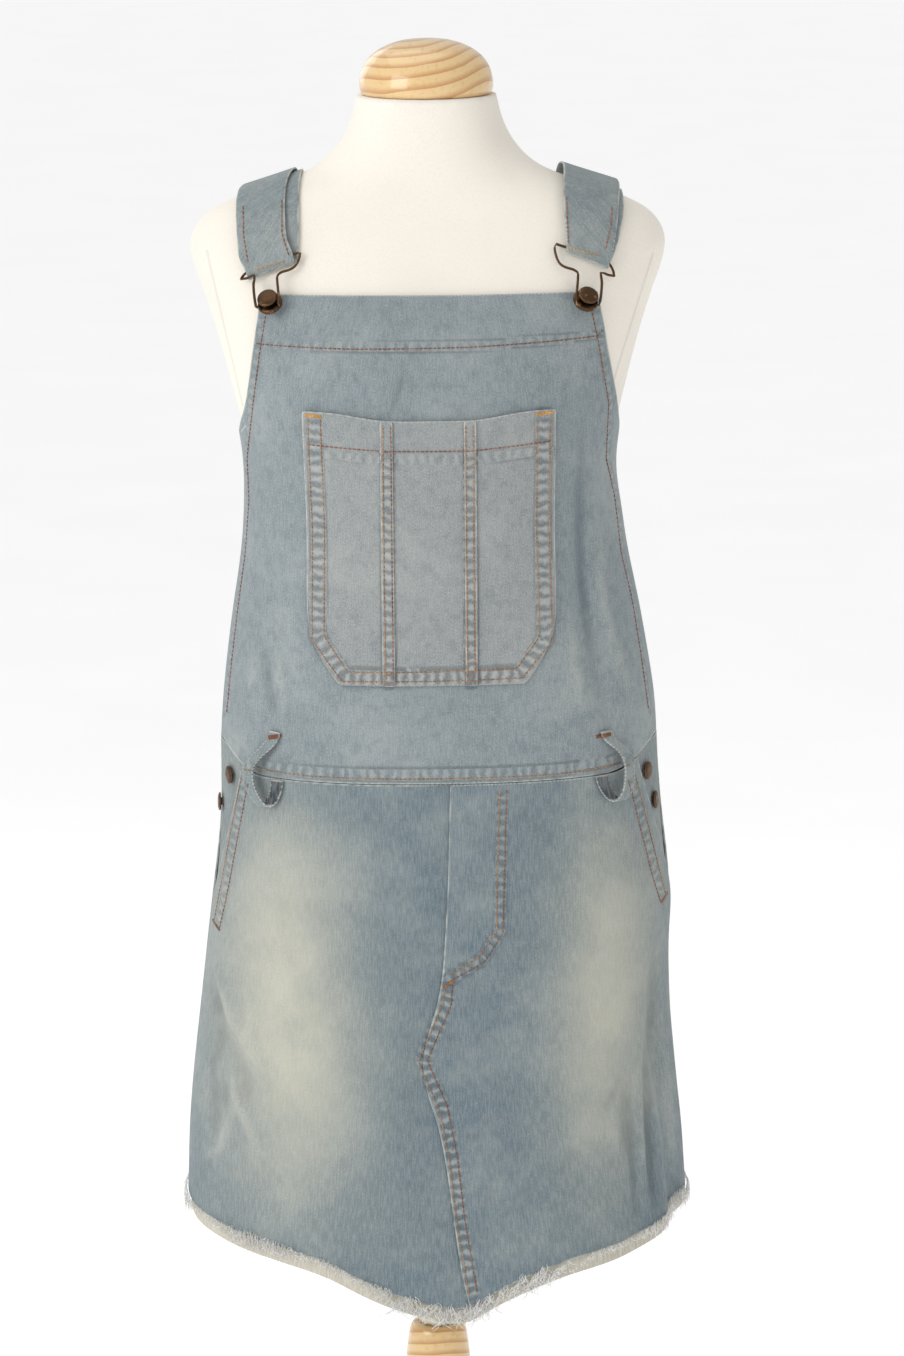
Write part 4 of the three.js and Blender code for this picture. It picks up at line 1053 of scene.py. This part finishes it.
class DRESS_OT_stitching(bpy.types.Operator):
    """Sew the visible rows of thread and the bar tacks"""

    bl_idname = "dress.stitching"
    bl_label = "Stitching"

    def execute(self, context):
        needle = surface_tree([
            "seat_panel", "back_bodice", "bib", "pocket", "fell_left", "fell_right", "skirt_left",
            "skirt_right", "strap_left_cloth", "strap_right_cloth", "loop_left", "loop_right"])
        made = {}
        chance = random.Random(7)
        for row in STITCH_ROWS:
            for a, b in self.stitches(row["points"]):
                radius = STITCH["radius"] * chance.uniform(0.85, 1.15)
                self.sew(needle, made.setdefault(row["thread"], ([], [])), a, b, radius, row["side"])
        for tack in TACKS:
            for a, b in self.zigzag(tack):
                self.sew(needle, made.setdefault(tack["thread"], ([], [])), a, b, TACK["radius"])
        for name, (vertices, faces) in made.items():
            piece = mesh_piece(f"stitches_{name}", vertices, faces)
            finish_piece(piece, thread(f"{name} thread", COLOUR[name]), [])
        return {"FINISHED"}

    def sew(self, needle, mesh, a, b, radius, side="front"):
        """Lays one stitch on the cloth between two points of one view; skips a stitch that misses it."""
        towards = 1 if side == "front" else -1
        ends = [needle.ray_cast(Vector((p.x * MM, -0.6 * towards, p.y * MM)), Vector((0, towards, 0)))
                for p in (a, b)]
        if any(end[0] is None for end in ends) or (ends[0][0] - ends[1][0]).length > STITCH["longest"]:
            return
        radius *= MM
        (p, normal_p, _, _), (q, normal_q, _, _) = ends
        lift = (normal_p + normal_q).normalized()
        if lift.y * towards > 0:
            lift.negate()
        sunk = lift * STITCH["sink"]
        proud = lift * radius * 0.55
        spots = [p - sunk, p.lerp(q, 0.2) + proud, p.lerp(q, 0.8) + proud, q - sunk]
        tube(*mesh, spots, [radius * 0.6, radius, radius, radius * 0.6], STITCH["sides"], lift)

    def stitches(self, points):
        starts = walk(points, STITCH["pitch"])
        share = STITCH["length"] / STITCH["pitch"]
        return [(a, a + (b - a) * share) for a, b in zip(starts, starts[1:])]

    def zigzag(self, tack):
        """Close threads across a short bar."""
        a, b = (Vector(end) for end in tack["ends"])
        rise = Vector((a.y - b.y, b.x - a.x)).normalized() * tack["rise"] / 2
        count = max(2, round((b - a).length / TACK["pitch"]))
        spots = [a.lerp(b, i / count) for i in range(count + 1)]
        return [(spot - rise, spot + rise) for spot in spots]


class DRESS_PT_panel(bpy.types.Panel):
    """Buttons that make each part of the dress"""

    bl_label = "Dungaree dress"
    bl_space_type = "VIEW_3D"
    bl_region_type = "UI"
    bl_category = "Dungaree dress"

    def draw(self, context):
        settings = context.scene.dungaree_dress
        for name in ("denim_blue", "bib_blue", "jersey", "fade", "weave", "fringe"):
            self.layout.prop(settings, name)
        for operator in OPERATORS:
            self.layout.operator(operator.bl_idname)


OPERATORS = (DRESS_OT_stage, DRESS_OT_form, DRESS_OT_stand, DRESS_OT_bib, DRESS_OT_skirt, DRESS_OT_hem,
             DRESS_OT_straps, DRESS_OT_fittings, DRESS_OT_stitching)
CLASSES = (DressSettings, *OPERATORS, DRESS_PT_panel)


def register():
    for item in CLASSES:
        bpy.utils.register_class(item)
    bpy.types.Scene.dungaree_dress = bpy.props.PointerProperty(type=DressSettings)


def unregister():
    del bpy.types.Scene.dungaree_dress
    for item in reversed(CLASSES):
        bpy.utils.unregister_class(item)


def main():
    register()
    bpy.ops.dress.stage()
    bpy.ops.dress.form()
    bpy.ops.dress.stand()
    bpy.ops.dress.bib()
    bpy.ops.dress.skirt()
    bpy.ops.dress.hem()
    bpy.ops.dress.straps()
    bpy.ops.dress.fittings()
    bpy.ops.dress.stitching()


if __name__ == "__main__":
    main()
